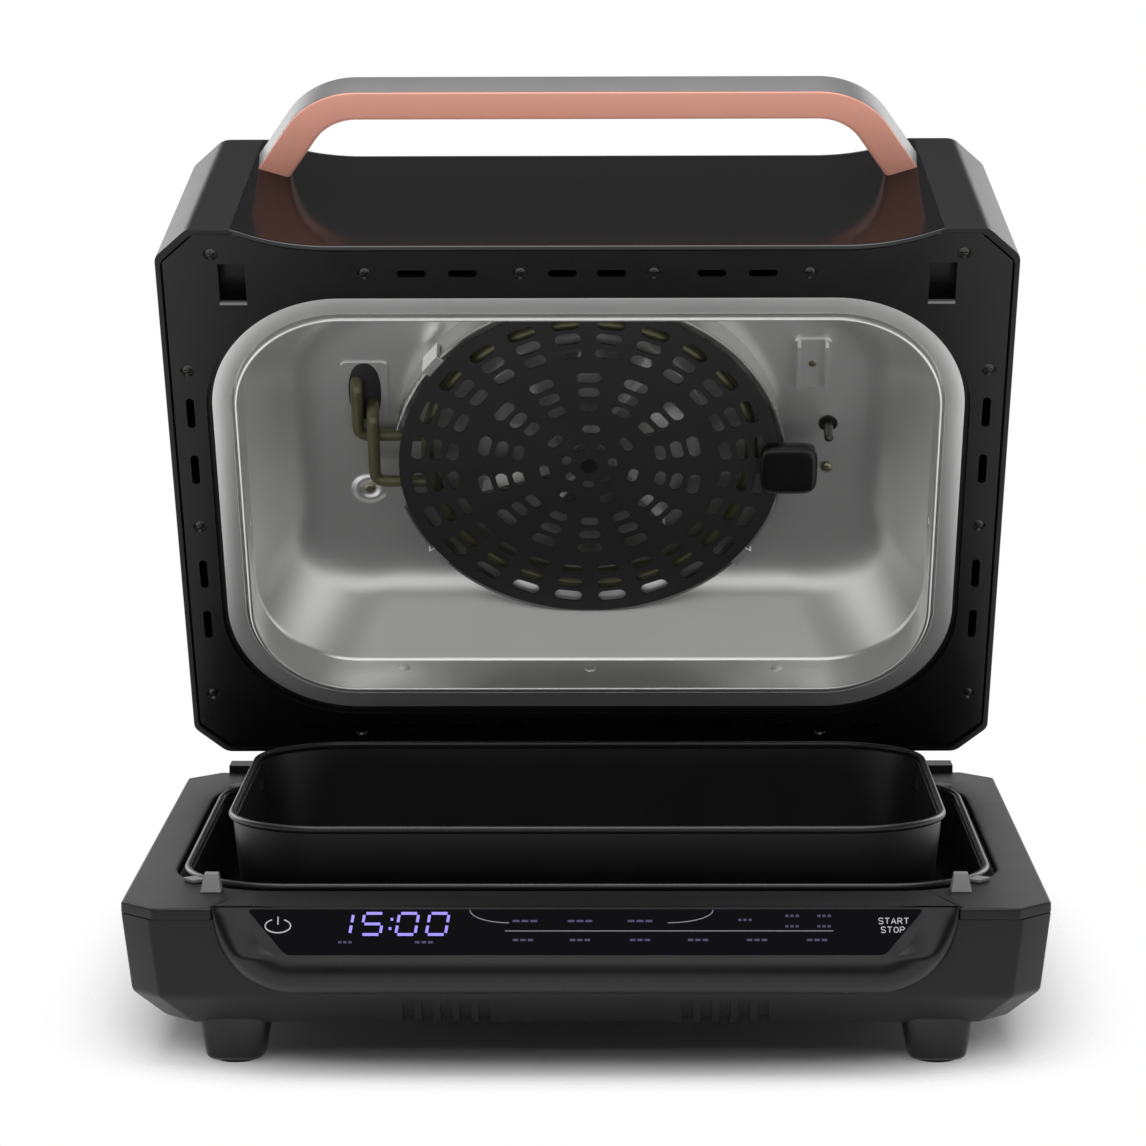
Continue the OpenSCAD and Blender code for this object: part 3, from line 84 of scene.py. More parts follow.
lens = bpy.data.cameras.new("photo_camera")
lens.sensor_width = sensor_mm
lens.lens = sensor_mm * focal_px / photo_px
lens.clip_end = 30
camera = show("photo_camera", lens)
camera.matrix_world = placed([side, head, -ahead], camera_at)
bpy.context.scene.camera = camera
bpy.context.scene.view_settings.view_transform = "Standard"
print("lens", round(lens.lens, 2), "mm")

# %% [markdown]
# ## Node helpers
# Every finish below is a small network of shader nodes. Three helpers keep the cells short: one adds a node
# and sets its sockets, one starts a material whose pattern is read in object coordinates, so that it stays
# put when a part moves, and one gives a neutral colour.

# %% Node helpers
def add(tree, kind, links=(), **values):
    """A shader node: values set its settings or sockets, and links are (node or output, input)."""
    node = tree.nodes.new("ShaderNode" + kind)
    for key, value in values.items():
        if hasattr(node, key):
            setattr(node, key, value)
        else:
            node.inputs[key.replace("_", " ")].default_value = value
    for source, key in links:
        output = source.outputs[0] if isinstance(source, bpy.types.Node) else source
        tree.links.new(output, node.inputs[key])
    return node


def start(name):
    """An empty node material, its tree, and the object coordinates of its surface."""
    material = bpy.data.materials.new(name)
    material.use_nodes = True
    tree = material.node_tree
    tree.nodes.clear()
    return material, tree, add(tree, "TexCoord").outputs["Object"]


def grey(value):
    """A neutral colour."""
    return value, value, value, 1


# %% [markdown]
# ## Floor, backdrop and light
# The machine stands on a white sweep. The floor is a real surface that catches the soft shadow of the
# machine and fades out to the white of the world around it. The world is white up to a line that lies at
# the horizon behind the camera and higher behind the machine. Above that line it turns to a quiet grey at
# the back, which the gloss panel mirrors, and to a dark grey behind the camera, which keeps the black
# shells black. Four soft lamps do the rest: one above, one high behind the camera for the lining, and one
# behind each shoulder of the lid.

# %% Floor
floor_half = 3.0
shadow_near, shadow_far, shadow_back = 0.195, 0.270, 0.030
floor_points = floor_half * np.array([[-1, -1, 0], [1, -1, 0], [-1, 1, 0], [1, 1, 0]])
floor_mesh = bpy.data.meshes.new("floor")
floor_mesh.from_pydata(floor_points.tolist(), [], [[0, 1, 3, 2]])
floor = show("floor", floor_mesh)

paper, tree, place = start("white_sweep")
moved = add(tree, "Mapping", [(place, "Vector")], Location=(0, -shadow_back, 0)).outputs[0]
square = add(tree, "VectorMath", [(moved, 0), (moved, 1)], operation="MULTIPLY").outputs[0]
fourth = add(tree, "VectorMath", [(square, 0), (square, 1)], operation="DOT_PRODUCT")
reach = add(tree, "Math", [(fourth.outputs["Value"], 0)], operation="POWER")
reach.inputs[1].default_value = 1 / 4
fade = add(tree, "MapRange", [(reach, 0)], interpolation_type="SMOOTHSTEP",
           From_Min=shadow_near, From_Max=shadow_far)
fibre = add(tree, "TexNoise", [(place, "Vector")], Scale=60.0)
tone = add(tree, "MixRGB", [(fibre, 0)], Color1=grey(0.90), Color2=grey(0.93))
matt = add(tree, "BsdfDiffuse", [(tone, "Color")])
clear = add(tree, "BsdfTransparent")
mixed = add(tree, "MixShader", [(fade, 0), (matt, 1), (clear, 2)])
add(tree, "OutputMaterial", [(mixed, "Surface")])
floor_mesh.materials.append(paper)

# %% World and lamps
world = bpy.data.worlds.new("studio")
bpy.context.scene.world = world
world.use_nodes = True
tree = world.node_tree
tree.nodes.clear()
sky = add(tree, "TexCoord").outputs["Generated"]
way = add(tree, "SeparateXYZ", [(sky, 0)]).outputs
height, depth = way["Z"], way["Y"]
front_to_back = {"From_Min": -1.0, "From_Max": 1.0}
white_to = add(tree, "MapRange", [(depth, 0)], To_Min=0.0, To_Max=0.26, **front_to_back)
grey_from = add(tree, "MapRange", [(depth, 0)], To_Min=0.07, To_Max=0.48, **front_to_back)
rise = add(tree, "MapRange", [(height, 0), (white_to, "From Min"), (grey_from, "From Max")],
           interpolation_type="SMOOTHSTEP")
behind = add(tree, "MapRange", [(depth, 0)], From_Min=-0.6, From_Max=0.4)
upper = add(tree, "MixRGB", [(behind, 0)], Color1=grey(0.05), Color2=(0.19, 0.19, 0.195, 1))
room = add(tree, "MixRGB", [(rise, 0), (upper, 2)], Color1=grey(1))
back = add(tree, "Background", [(room, "Color")])
add(tree, "OutputWorld", [(back, "Surface")])


def soft_lamp(name, at, aim, size, watts):
    """A rectangular lamp at a point, its own -Z turned towards aim and its own Y as upright as it can be."""
    lamp = bpy.data.lights.new(name, "AREA")
    lamp.shape = "RECTANGLE"
    lamp.size, lamp.size_y = size
    lamp.energy = watts
    away = np.array(at, float) - np.array(aim, float)
    away /= np.linalg.norm(away)
    across = np.cross([0, 1e-4, 1], away)
    across /= np.linalg.norm(across)
    show(name, lamp).matrix_world = placed([across, np.cross(away, across), away], at)


for name, at, aim_z, size, watts in (("lamp_above", (0.0, -0.2, 2.0), 0.2, (1.8, 1.4), 30),
                                     ("lamp_front", (0.0, -2.3, 2.0), 0.2, (2.4, 1.1), 13),
                                     ("lamp_left", (-1.3, 1.5, 1.0), 0.3, (0.8, 1.2), 11),
                                     ("lamp_right", (1.3, 1.5, 1.0), 0.3, (0.8, 1.2), 11)):
    soft_lamp(name, at, (0, 0, aim_z), size, watts)

# %% [markdown]
# ## Finishes
# A moulded shell isn't one flat colour: its skin has a fine spark-eroded grain, and hands and wiping leave
# the gloss uneven. One function gives all the plain finishes: a fine noise lifts the surface, a coarse one
# shifts the tone, and both together shift the roughness.

# %% One function for the plain finishes
def finish(name, colour, rough, metal=0.0, grain=2400.0, lift=0.06, uneven=0.06, tone=0.10, patch=28.0,
           level=0.5):
    """Principled surface. A fine noise at grain and a coarse one at patch move the roughness by uneven, the
    coarse one shifts the colour by tone, and the fine one lifts the surface by a bump of strength lift."""
    material, tree, place = start(name)
    fine = add(tree, "TexNoise", [(place, "Vector")], Scale=grain, Detail=2.0, Roughness=0.55)
    coarse = add(tree, "TexNoise", [(place, "Vector")], Scale=patch, Detail=4.0, Roughness=0.6)
    dark = tuple(c * (1 - tone) for c in colour) + (1,)
    pale = tuple(min(1.0, c * (1 + tone)) for c in colour) + (1,)
    shade = add(tree, "MixRGB", [(coarse, 0)], Color1=dark, Color2=pale)
    both = add(tree, "Math", [(fine, 0), (coarse, 1)], operation="ADD")
    sheen = add(tree, "MapRange", [(both, 0)], From_Min=0.6, From_Max=1.4,
                To_Min=max(0.02, rough - uneven), To_Max=min(1.0, rough + uneven))
    skin = add(tree, "Bump", [(fine, "Height")], Strength=lift, Distance=0.0004)
    shader = add(tree, "BsdfPrincipled", [(shade, "Base Color"), (sheen, "Roughness"), (skin, "Normal")],
                 Metallic=metal, Specular_IOR_Level=level)
    add(tree, "OutputMaterial", [(shader, "Surface")])
    return material


finishes = {
    "shell": finish("charcoal_shell", (0.010, 0.010, 0.011), 0.42, lift=0.16, uneven=0.02, tone=0.05,
                    patch=70.0, level=0.30),
    "black_shell": finish("black_shell", (0.005, 0.005, 0.0055), 0.31, lift=0.10, level=0.42),
    "gloss_panel": finish("gloss_panel", (0.004, 0.004, 0.0045), 0.10, lift=0.0, uneven=0.03, patch=9.0),
    "control_glass": finish("control_glass", (0.003, 0.003, 0.005), 0.12, lift=0.0, uneven=0.03,
                            patch=14.0, level=0.03),
    # The board is made near black: painted shade for the inside of the base, seen through the vents.
    "board": finish("circuit_board_painted_shade", (0.002, 0.005, 0.003), 0.6, level=0.1),
    "bright_steel": finish("satin_steel", (0.86, 0.86, 0.85), 0.31, metal=0.78, grain=2600.0, lift=0.0,
                           uneven=0.02, tone=0.03),
    "fastener": finish("dark_screw", (0.085, 0.082, 0.079), 0.32, metal=1.0, lift=0.05),
    "pan_coat": finish("non_stick_coat", (0.009, 0.009, 0.010), 0.34, grain=3200.0, lift=0.10),
    "pale_lug": finish("pale_lug", (0.22, 0.22, 0.22), 0.55),
    # Also worn by the heater's dark oval, where the black is painted shade.
    "rubber": finish("black_rubber_and_painted_shade", (0.010, 0.010, 0.010), 0.65, lift=0.10),
    "copper": finish("copper_paint", (0.98, 0.445, 0.335), 0.38, metal=0.05, grain=5200.0, lift=0.05,
                     tone=0.05),
    "handle_grey": finish("handle_grey", (0.20, 0.20, 0.20), 0.42, metal=0.1, grain=4200.0, lift=0.05,
                          tone=0.06),
    "shield_coat": finish("shield_coat", (0.022, 0.022, 0.023), 0.42, grain=3000.0, lift=0.10),
    "heater_tube": finish("heater_tube", (0.13, 0.13, 0.07), 0.42, metal=0.5, lift=0.10, tone=0.25,
                          patch=60.0),
    "wool": finish("mineral_wool", (0.62, 0.58, 0.46), 0.95, grain=700.0, lift=0.6, tone=0.2),
}
for part in frame["record"]["subparts"]:
    solid = frame["nodes"][part["node"]]
    solid.data.materials.clear()
    solid.data.materials.append(finishes[part["material_slot"]])
print("finishes", len(finishes))

# %% [markdown]
# ## Places and surfaces
# All sizes are in millimetres, as on the drawing, with y = 0 at the front edge of the deck and the lid
# drawn shut. Two functions bring such points into the scene: one for the base, and one that also swings the
# lid up about its hinge. A piece is one or more grids of points. Neighbouring points are joined by quads,
# doubled points are merged, so seams and poles close, and the faces are turned outwards.

# %% Places and surfaces
middle_y, hinge_y, hinge_z = 199.419, 339.7, 81.15
lid_turn = np.radians(59.0)
mm, weld, sliver = 0.001, 2e-6, 1e-7


def on_base(points):
    """Millimetres from the deck's front edge to metres from the machine's middle."""
    return (points - [0, middle_y, 0]) * mm


def on_lid(points):
    """A point of the shut lid, turned about the hinge line by the opening angle and placed as on the base."""
    back, up = points[..., 1] - hinge_y, points[..., 2] - hinge_z
    y = hinge_y + back * np.cos(lid_turn) + up * np.sin(lid_turn)
    z = hinge_z - back * np.sin(lid_turn) + up * np.cos(lid_turn)
    return on_base(np.stack([points[..., 0], y, z], -1))


def quads(rows, cols, around, closed):
    """Corner numbers of the cells of a grid stored row by row: around joins the last column to the first,
    closed joins the last row to the first."""
    i = np.arange(rows if closed else rows - 1)[:, None]
    j = np.arange(cols if around else cols - 1)[None, :]
    k, m = (i + 1) % rows, (j + 1) % cols
    return np.stack([i * cols + j, i * cols + m, k * cols + m, k * cols + j], -1)


def hand_over(piece, body, nodes):
    """A piece rides on a body and stands for nodes, if any."""
    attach(piece, body)
    if nodes:
        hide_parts(*nodes)
    print(piece.name, len(piece.data.polygons), "faces")


def make_piece(name, slot, body, grids, nodes=(), sharp=40.0, around=True, closed=False, holes=None,
               walls=None, skin=None):
    """A piece made of grids. Holes marks cells of the first grid that stay open, walls are quads between its
    points, and skin is a material other than that of the slot."""
    place = on_base if body == "base" else on_lid
    corners, faces, first = [], [], 0
    for points in grids:
        cells = quads(*points.shape[:2], around, closed)
        kept = cells if holes is None or first else cells[~holes]
        faces.append(kept.reshape(-1, 4) + first)
        corners.append(points.reshape(-1, 3))
        first += points.shape[0] * points.shape[1]
    if walls is not None:
        faces.append(walls.reshape(-1, 4))
    mesh = bpy.data.meshes.new(name)
    mesh.from_pydata(place(np.concatenate(corners)).tolist(), [], np.concatenate(faces).tolist())
    work = bmesh.new()
    work.from_mesh(mesh)
    bmesh.ops.remove_doubles(work, verts=work.verts, dist=weld)
    bmesh.ops.dissolve_degenerate(work, edges=work.edges, dist=sliver)
    bmesh.ops.recalc_face_normals(work, faces=work.faces)
    work.to_mesh(mesh)
    work.free()
    mesh.shade_smooth()
    mesh.set_sharp_from_angle(angle=np.radians(sharp))
    mesh.materials.append(skin or finishes[slot])
    hand_over(show(name, mesh), body, nodes)


def eased(points, ease, steps=4, closed=True):
    """Outline whose corners give way to parabolas that start ease before a corner and end ease after it. The
    ends of an open outline stay."""
    points = np.array(points, float)
    ease = np.array(np.broadcast_to(ease, len(points)), float)[:, None]
    if not closed:
        ease[[0, -1]] = 0
    before, after = np.roll(points, 1, 0) - points, np.roll(points, -1, 0) - points
    lead = points + ease * before / np.linalg.norm(before, axis=1, keepdims=True)
    tail = points + ease * after / np.linalg.norm(after, axis=1, keepdims=True)
    t = np.linspace(0, 1, steps + 1)[None, :, None]
    curve = (1 - t) ** 2 * lead[:, None] + 2 * t * (1 - t) * points[:, None] + t ** 2 * tail[:, None]
    return curve.reshape(-1, points.shape[1])


def at_height(flat, z):
    """Points (x, y) with a height each, or one for a whole row."""
    return np.concatenate([flat, np.broadcast_to(z, flat.shape[:-1])[..., None]], -1)


def shut_ends(rows):
    """Rows of a grid with one more at each end, in which all points lie at the middle of the end row."""
    ends = [np.broadcast_to(row.mean(0), row.shape)[None] for row in (rows[0], rows[-1])]
    return np.concatenate([ends[0], rows, ends[1]])


# %% [markdown]
# ## The lid's front
# The front wall leans back by about ten millimetres from the rim to the shoulder and is hollowed across its
# middle: a flat floor that curves out at both ends. The gloss panel fills that hollow, and the handle's
# legs land on it. Both need the same formula, so it comes first.

# %% The lid's front
rim_z, lid_draft, shoulder_h, lid_h = 79.0, 10.4, 93.0, 102.0
shoulder_r = 15.6
hollow_half, hollow_flat, hollow_deep, hollow_lean = 169.5, 123.0, 9.9, 0.9
panel_turn, panel_t, panel_side, seam = 22.0, 2.2, 1.2, 0.25


def wall_inset(z):
    """How far the lid's wall has leaned in at height z."""
    return lid_draft * (z - rim_z) / shoulder_h


def shoulder(turn, deep=0.0):
    """Inset and height of the shoulder at a turn in degrees: a quarter ellipse, deep under the skin."""
    turn = np.radians(turn)
    inset = lid_draft + shoulder_r * (1 - np.cos(turn)) + deep * np.cos(turn)
    return np.stack([inset, rim_z + shoulder_h + (lid_h - shoulder_h - deep) * np.sin(turn)], -1)


def hollow_y(x, inset):
    """Front of the hollow: its flat floor, then an arc that ends at the wall's own front."""
    reach = hollow_half - hollow_flat
    radius = (reach ** 2 + hollow_deep ** 2) / (2 * hollow_deep)
    beyond = np.clip(np.abs(x) - (hollow_flat - hollow_lean * inset), 0, reach)
    return inset + hollow_deep - radius + np.sqrt(radius ** 2 - beyond ** 2)


# %% [markdown]
# ## Gloss panel
# A moulded black strip with a mirror finish, let into the hollow. It is a grid: u runs across, the height
# runs up, and the formula above gives the depth. A second grid behind it and a thin turned-in edge make it
# a closed strip.

# %% Gloss panel
edge_lift = np.array([[0.5, 0.0], [0.15, 0.1], [0.0, 0.5]])
rise = np.linspace(rim_z + 2, rim_z + shoulder_h, 14)
low = np.stack([edge_lift[:, 0], rim_z + edge_lift[:, 1]], 1)
top = shoulder(np.linspace(5, panel_turn, 5))
top[-1, 1] -= seam
front = np.concatenate([low, np.stack([wall_inset(rise), rise], 1), top[:-1], top[-1:] + [0, -0.2],
                        top[-1:] + [0.5, 0]])
u = np.linspace(-1, 1, 97)
u = np.concatenate([u[:1], u, u[-1:]])
x = u * (hollow_half + panel_side - seam - hollow_lean * front[:, :1])
face = np.stack([x, hollow_y(x, front[:, :1]), np.broadcast_to(front[:, 1:], x.shape)], -1)
behind = face.copy()
behind[:, 1:-1, 1] += panel_t
make_piece("gloss_front_panel", "gloss_panel", "lid", [np.concatenate([face, behind[::-1]])],
           ["lid_front_panel"], around=False, closed=True)

# %% [markdown]
# ## Lid cover
# The charcoal cover is an eight-sided box with leaning walls, a rounded shoulder and a flat top. One closed
# profile is carried round it: up the outside of the wall, over the shoulder to the middle of the top, and
# back down the inside. Where the gloss panel sits, the wall's rows are drawn up to the shoulder, which
# leaves the front open. Eleven slots in the back wall let the motor's cooling air out: their columns are
# simply pushed in.

# %% Lid cover
lid_half, lid_deep, corner_cut, wall = 207.5, 331.0, 16.0, 2.5
slot_count, slot_pitch, slot_half, slot_low, slot_high, slot_deep = 11, 14.0, 2.5, 136.8, 158.8, 2.0
corner_ease, slot_ease, sheer = 3.0, 0.03, 0.03
slot_turns = np.arange(slot_count)[::-1] - slot_count // 2
slot_edges = (slot_turns[:, None] * slot_pitch + [slot_half, -slot_half]).ravel()


def lid_ring(inset):
    """The lid's outline at an inset: right front and side, back with slots, left side and front, hollow."""
    half, back, c = lid_half - inset, lid_deep - inset, corner_cut
    beside = hollow_half + panel_side - hollow_lean * inset
    right = np.array([[beside, inset], [half - c, inset], [half, inset + c], [half, back - c],
                      [half - c, back]])
    slots = np.stack([slot_edges, np.full(len(slot_edges), back)], 1)
    corners = np.concatenate([right, slots, right[::-1] * [-1, 1]])
    ease = np.full(len(corners), corner_ease)
    ease[len(right):-len(right)] = slot_ease
    shell = eased(corners, ease, closed=False)
    across = np.linspace(-1, 1, 81) * (hollow_half - hollow_lean * inset)
    hollow = np.stack([across, hollow_y(across, inset)], 1)
    return np.concatenate([shell, shell[-1:], hollow, shell[:1]]), len(shell)


def lid_rows(profile):
    """Rows of the lid's outline at each inset and height of a profile."""
    return at_height(np.stack([lid_ring(inset)[0] for inset in profile[:, 0]]), profile[:, 1:])


def drawn_in(row, share):
    """A flat row shrunk towards the middle of the lid."""
    return (row - [0, lid_deep / 2, 0]) * [share, share, 1] + [0, lid_deep / 2, 0]


slot_z = [slot_low - sheer, slot_low + sheer, slot_high - sheer, slot_high + sheer]
wall_z = np.array([rim_z + 1.2] + slot_z)
outside = np.concatenate([[[0.9, rim_z], [0.3, rim_z + 0.1], [0.06, rim_z + 0.5]],
                          np.stack([wall_inset(wall_z), wall_z], 1)])
outside = np.concatenate([outside, shoulder(np.array([0, 5.5, 11, 16.5]))])
roof = np.linspace(panel_turn, 90, 13)
inner_z = np.array([rim_z + shoulder_h, rim_z])
inside = np.stack([wall_inset(inner_z) + wall, inner_z], 1)
walls_out, roof_out = lid_rows(outside), lid_rows(shoulder(roof))
roof_in, walls_in = lid_rows(shoulder(roof[::-1], wall)), lid_rows(inside)
open_from = lid_ring(0.0)[1]
walls_out[:, open_from:] = roof_out[0, open_from:]
walls_in[:, open_from:] = roof_in[-1, open_from:]
away = np.abs(walls_out[..., 0] - slot_pitch * np.round(walls_out[..., 0] / slot_pitch))
pushed = (away < slot_half) & (np.abs(walls_out[..., 0]) < slot_count / 2 * slot_pitch)
pushed &= (walls_out[..., 2] > slot_low) & (walls_out[..., 2] < slot_high)
pushed &= walls_out[..., 1] > lid_deep / 2
walls_out[..., 1] -= slot_deep * pushed
lid_top = [drawn_in(roof_out[-1], share)[None] for share in (0.6, 0.3, 0.0)]
lid_under = [drawn_in(roof_in[0], share)[None] for share in (0.0, 0.3, 0.6)]
shell_rows = np.concatenate([walls_out, roof_out] + lid_top + lid_under + [roof_in, walls_in])
make_piece("lid_soft_cover", "shell", "lid", [shell_rows], ["lid_cover"], sharp=32.0, closed=True)

# %% [markdown]
# ## Handle
# The bar handle is two pieces: a copper-painted core, seen from below and behind, and a grey cap over its
# front and top. Both are sections carried along one path: a straight middle, a bend at each side, and a
# leg. Each fibre of a leg runs on until it meets the hollow of the panel, which is found by halving an
# interval for all the fibres at once.

# %% Handle
bar_y, bar_z, bar_flat, bend_r = -27.0, 144.0, 112.0, 32.0
bend_turn = np.radians(58.0)
bar_t, bar_h, cap_t, lip_h, cap_gap, lip_gap, leg_max = 8.0, 17.0, 2.5, 1.2, 0.1, 0.15, 80.0


def carried_along_bar(section):
    """Section of (outward, up) points along the handle. The left half mirrors the right."""
    outward, z = section[:, 0], bar_z + section[:, 1]
    turn = np.linspace(0, bend_turn, 33)[:, None]
    x = bar_flat + (bend_r + outward) * np.sin(turn)
    y = bar_y + bend_r - (bend_r + outward) * np.cos(turn)
    near, far = np.zeros(len(z)), np.full(len(z), leg_max)
    for _ in range(40):
        half = (near + far) / 2
        panel_y = hollow_y(x[-1] + half * np.cos(bend_turn), wall_inset(z))
        hit = y[-1] + half * np.sin(bend_turn) > panel_y
        near, far = np.where(hit, near, half), np.where(hit, half, far)
    leg = np.linspace(0.1, 1, 8)[:, None] * near
    x = np.concatenate([x, x[-1] + leg * np.cos(bend_turn)])
    y = np.concatenate([y, y[-1] + leg * np.sin(bend_turn)])
    right = np.stack([x, y, np.broadcast_to(z, x.shape)], -1)
    return shut_ends(np.concatenate([right[::-1] * [-1, 1, 1], right]))


core_t, core_h = bar_t - cap_t, bar_h - cap_t
core = eased([[-bar_t, 0], [bar_t, 0], [bar_t, lip_h], [core_t, lip_h], [core_t, core_h], [-bar_t, core_h]],
             [3.0, 0.7, 0.3, 0.3, 0.3, 0.3])
cap = eased([[bar_t, lip_h + lip_gap], [bar_t, bar_h], [-bar_t, bar_h], [-bar_t, core_h + cap_gap],
             [core_t + cap_gap, core_h + cap_gap], [core_t + cap_gap, lip_h + lip_gap]],
            [0.5, 3.2, 1.2, 0.5, 0.2, 0.2], steps=6)
for name, slot, section, node in (("copper_bar", "copper", core, "handle_core"),
                                  ("grey_bar_cap", "handle_grey", cap, "handle_cap")):
    make_piece(name, slot, "lid", [carried_along_bar(section)], [node])

# %% [markdown]
# ## Base housing
# The lower shell has eight sides that lean in a little, and a wide bevel round its bottom edge. Its profile
# is again carried round: out along the underside, up the bevel and the wall, over the top edge and back
# inside. Ten small vents break the bottom edge at the front: their columns are raised, as far back as an
# upright wall.

# %% Base housing
deck_z, base_half, base_deep, foot_h, front_step = 77.0, 210.0, 331.0, 20.0, 2.0
vent_x, vent_pitch, vent_half, vent_top, vent_back = 63.0, 8.6, 2.6, 23.6, 32.1
plate_x, plate_y, plate_lap, plate_gap, plate_seat, floor_top = 157.0, 104.5, 8.0, 0.1, 21.5, 26.5
underside, inner_wall = (30.2, 30.0, 23.05), [(8.0, 40.0), (24.0, floor_top)]
vent_edges = (np.arange(-2, 3)[:, None] * vent_pitch + [-vent_half, vent_half]).ravel()
vent_edges = np.concatenate([vent_edges - vent_x, vent_edges + vent_x])


def with_vents(corners, ease):
    """An eight-cornered outline from its front left, eased, with columns at the edges of the vents."""
    front = np.stack([vent_edges, np.full(len(vent_edges), corners[0][1])], 1)
    points = np.concatenate([corners[:1], front, corners[1:]])
    return eased(points, np.concatenate([[ease], np.full(len(front), 0.03), np.full(7, ease)]))


def eight_sided(half, front, back, cut, step=0.0):
    """Corners of a rectangle with its corners cut, from the front left round to the left."""
    return np.array([[-half + cut - step, front], [half - cut + step, front], [half, front + cut - step],
                     [half, back - cut], [half - cut, back], [-half + cut, back], [-half, back - cut],
                     [-half, front + cut - step]])


def housing_row(inset, z, ease=1.4):
    """The housing's outline at an inset and a height."""
    front, back = inset + front_step, base_deep - inset
    return at_height(with_vents(eight_sided(base_half - inset, front, back, corner_cut, front_step), ease), z)


def plate_row(grow, z):
    """The outline of the bottom plate's opening, grown, at a height."""
    front, back = base_deep / 2 - plate_y - grow, base_deep / 2 + plate_y + grow
    return at_height(with_vents(eight_sided(plate_x + grow, front, back, 1.0), 0.2), z)


skirt = eased([[22.9, foot_h], [18.0, foot_h], [4.0, 35.0], [0.0, 71.9], [2.5, 71.9]], [0, 1.2, 2.0, 0.8, 0],
              5, False)
rows = [plate_row(-plate_lap, floor_top), plate_row(-plate_lap, plate_seat), plate_row(plate_gap, plate_seat),
        plate_row(plate_gap, foot_h)]
rows += [housing_row(inset, foot_h) for inset in underside]
rows += [housing_row(inset, z) for inset, z in list(skirt) + inner_wall]
housing = np.stack(rows)
vented = np.abs(housing[:, :, None, 0] - vent_edges.reshape(-1, 2).mean(1)).min(-1) < vent_half
vented &= (housing[..., 1] < vent_back) & (housing[..., 2] < vent_top)
housing[..., 2] = np.where(vented, vent_top, housing[..., 2])
make_piece("base_soft_housing", "shell", "base", [housing], ["base_housing"], sharp=32.0, closed=True)

# %% [markdown]
# ## Deck
# The deck is a flat ring: eight-sided outside, a rounded opening for the pan inside, and a notch for the
# fascia. Each point of the outer outline is paired with the nearest point of the opening, which is found
# without a search: clamp it to the rectangle of the corner centres, then go out along the ray by the corner
# radius.

# %% Deck
fascia_half, fascia_back, deck_t = 167.0, 3.2, 5.0
cook_y, open_x, open_y, open_r = 173.0, 191.5, 135.0, 53.0


def respaced(outline, step):
    """A closed outline with extra points along it, so that none of its gaps is longer than step."""
    loop = np.concatenate([outline, outline[:1]])
    run = np.concatenate([[0], np.cumsum(np.linalg.norm(np.diff(loop, axis=0), axis=1))])
    marks = np.union1d(np.round(run, 6), np.arange(0, run[-1], step))
    return np.stack([np.interp(marks, run, loop[:, k]) for k in (0, 1)], 1)[:-1]


sides = eight_sided(base_half, 0.0, base_deep, corner_cut)
notch_x, notch_y = fascia_half + seam, fascia_back + seam
notch = [[-notch_x, 0], [-notch_x, notch_y], [notch_x, notch_y], [notch_x, 0]]
deck_edge = np.concatenate([sides[:1], notch, sides[1:]])
deck_edge = respaced(eased(deck_edge, [1.4, 1.7, 0.3, 0.3, 1.7] + [1.4] * 7), 4.0)
tangent = np.roll(deck_edge, -1, 0) - np.roll(deck_edge, 1, 0)
inward = np.stack([-tangent[:, 1], tangent[:, 0]], 1) / np.linalg.norm(tangent, axis=1, keepdims=True)
from_middle = deck_edge - [0, cook_y]
clamped = np.clip(from_middle, [open_r - open_x, open_r - open_y], [open_x - open_r, open_y - open_r])
ray = (from_middle - clamped) / np.linalg.norm(from_middle - clamped, axis=1, keepdims=True)
deck_low = deck_z - deck_t
rim = eased([[1.6, deck_low], [0.0, deck_low], [0.0, deck_z], [1.6, deck_z]], [0, 0.4, 1.4, 0], 5, False)
lip = eased([[3.0, deck_z], [0.0, deck_z], [0.0, deck_low], [3.0, deck_low]], [0, 1.2, 0.4, 0], 5, False)
deck = [at_height(deck_edge + t * inward, z) for t, z in rim]
deck += [at_height(clamped + ray * (open_r + t) + [0, cook_y], z) for t, z in lip]
make_piece("base_soft_deck", "shell", "base", [np.stack(deck)], ["base_deck"], closed=True)

# %% [markdown]
# ## Fascia
# The control fascia is boat-shaped: a rolled lip runs down its sides and along its bottom, and a sloping
# face sits inside. Its rows are the same outline drawn in step by step, and the reach of each row follows a
# quarter circle and then a slow fall. Towards the top every row runs out to nothing, so the lip ends flush
# with the deck.

# %% Fascia
fascia_top, fascia_h, fascia_r = 77.6, 39.0, 36.0
lip_out, lip_round, slope_h, slope_out = 12.0, 9.0, 20.5, 9.0
lip_band, crowding, draw_in = fascia_h - slope_h, 1.8, 0.9


def fascia_outline(s):
    """Left side, lower left arc, bottom, lower right arc and right side, drawn in by s, as (x, z)."""
    half, low, r = fascia_half - s, fascia_top - fascia_h + s, fascia_r - s
    turn = np.linspace(0, np.pi / 2, 25)
    arc = np.stack([half - r + r * np.sin(turn), low + r - r * np.cos(turn)], 1)
    side = np.stack([np.full(8, half), np.linspace(low + r, fascia_top, 9)[1:]], 1)
    right = np.concatenate([arc, side])
    return np.concatenate([right[::-1] * [-1, 1], right])


def lip_reach(s):
    """A quarter circle over the first part of the band, then a fall that starts level."""
    rolled = lip_out * np.sqrt(1 - np.clip(1 - s / lip_round, 0, 1) ** 2)
    fallen = lip_out - (lip_out - slope_out) * np.clip((s - lip_round) / (lip_band - lip_round), 0, 1) ** 2
    return np.where(s < lip_round, rolled, fallen)


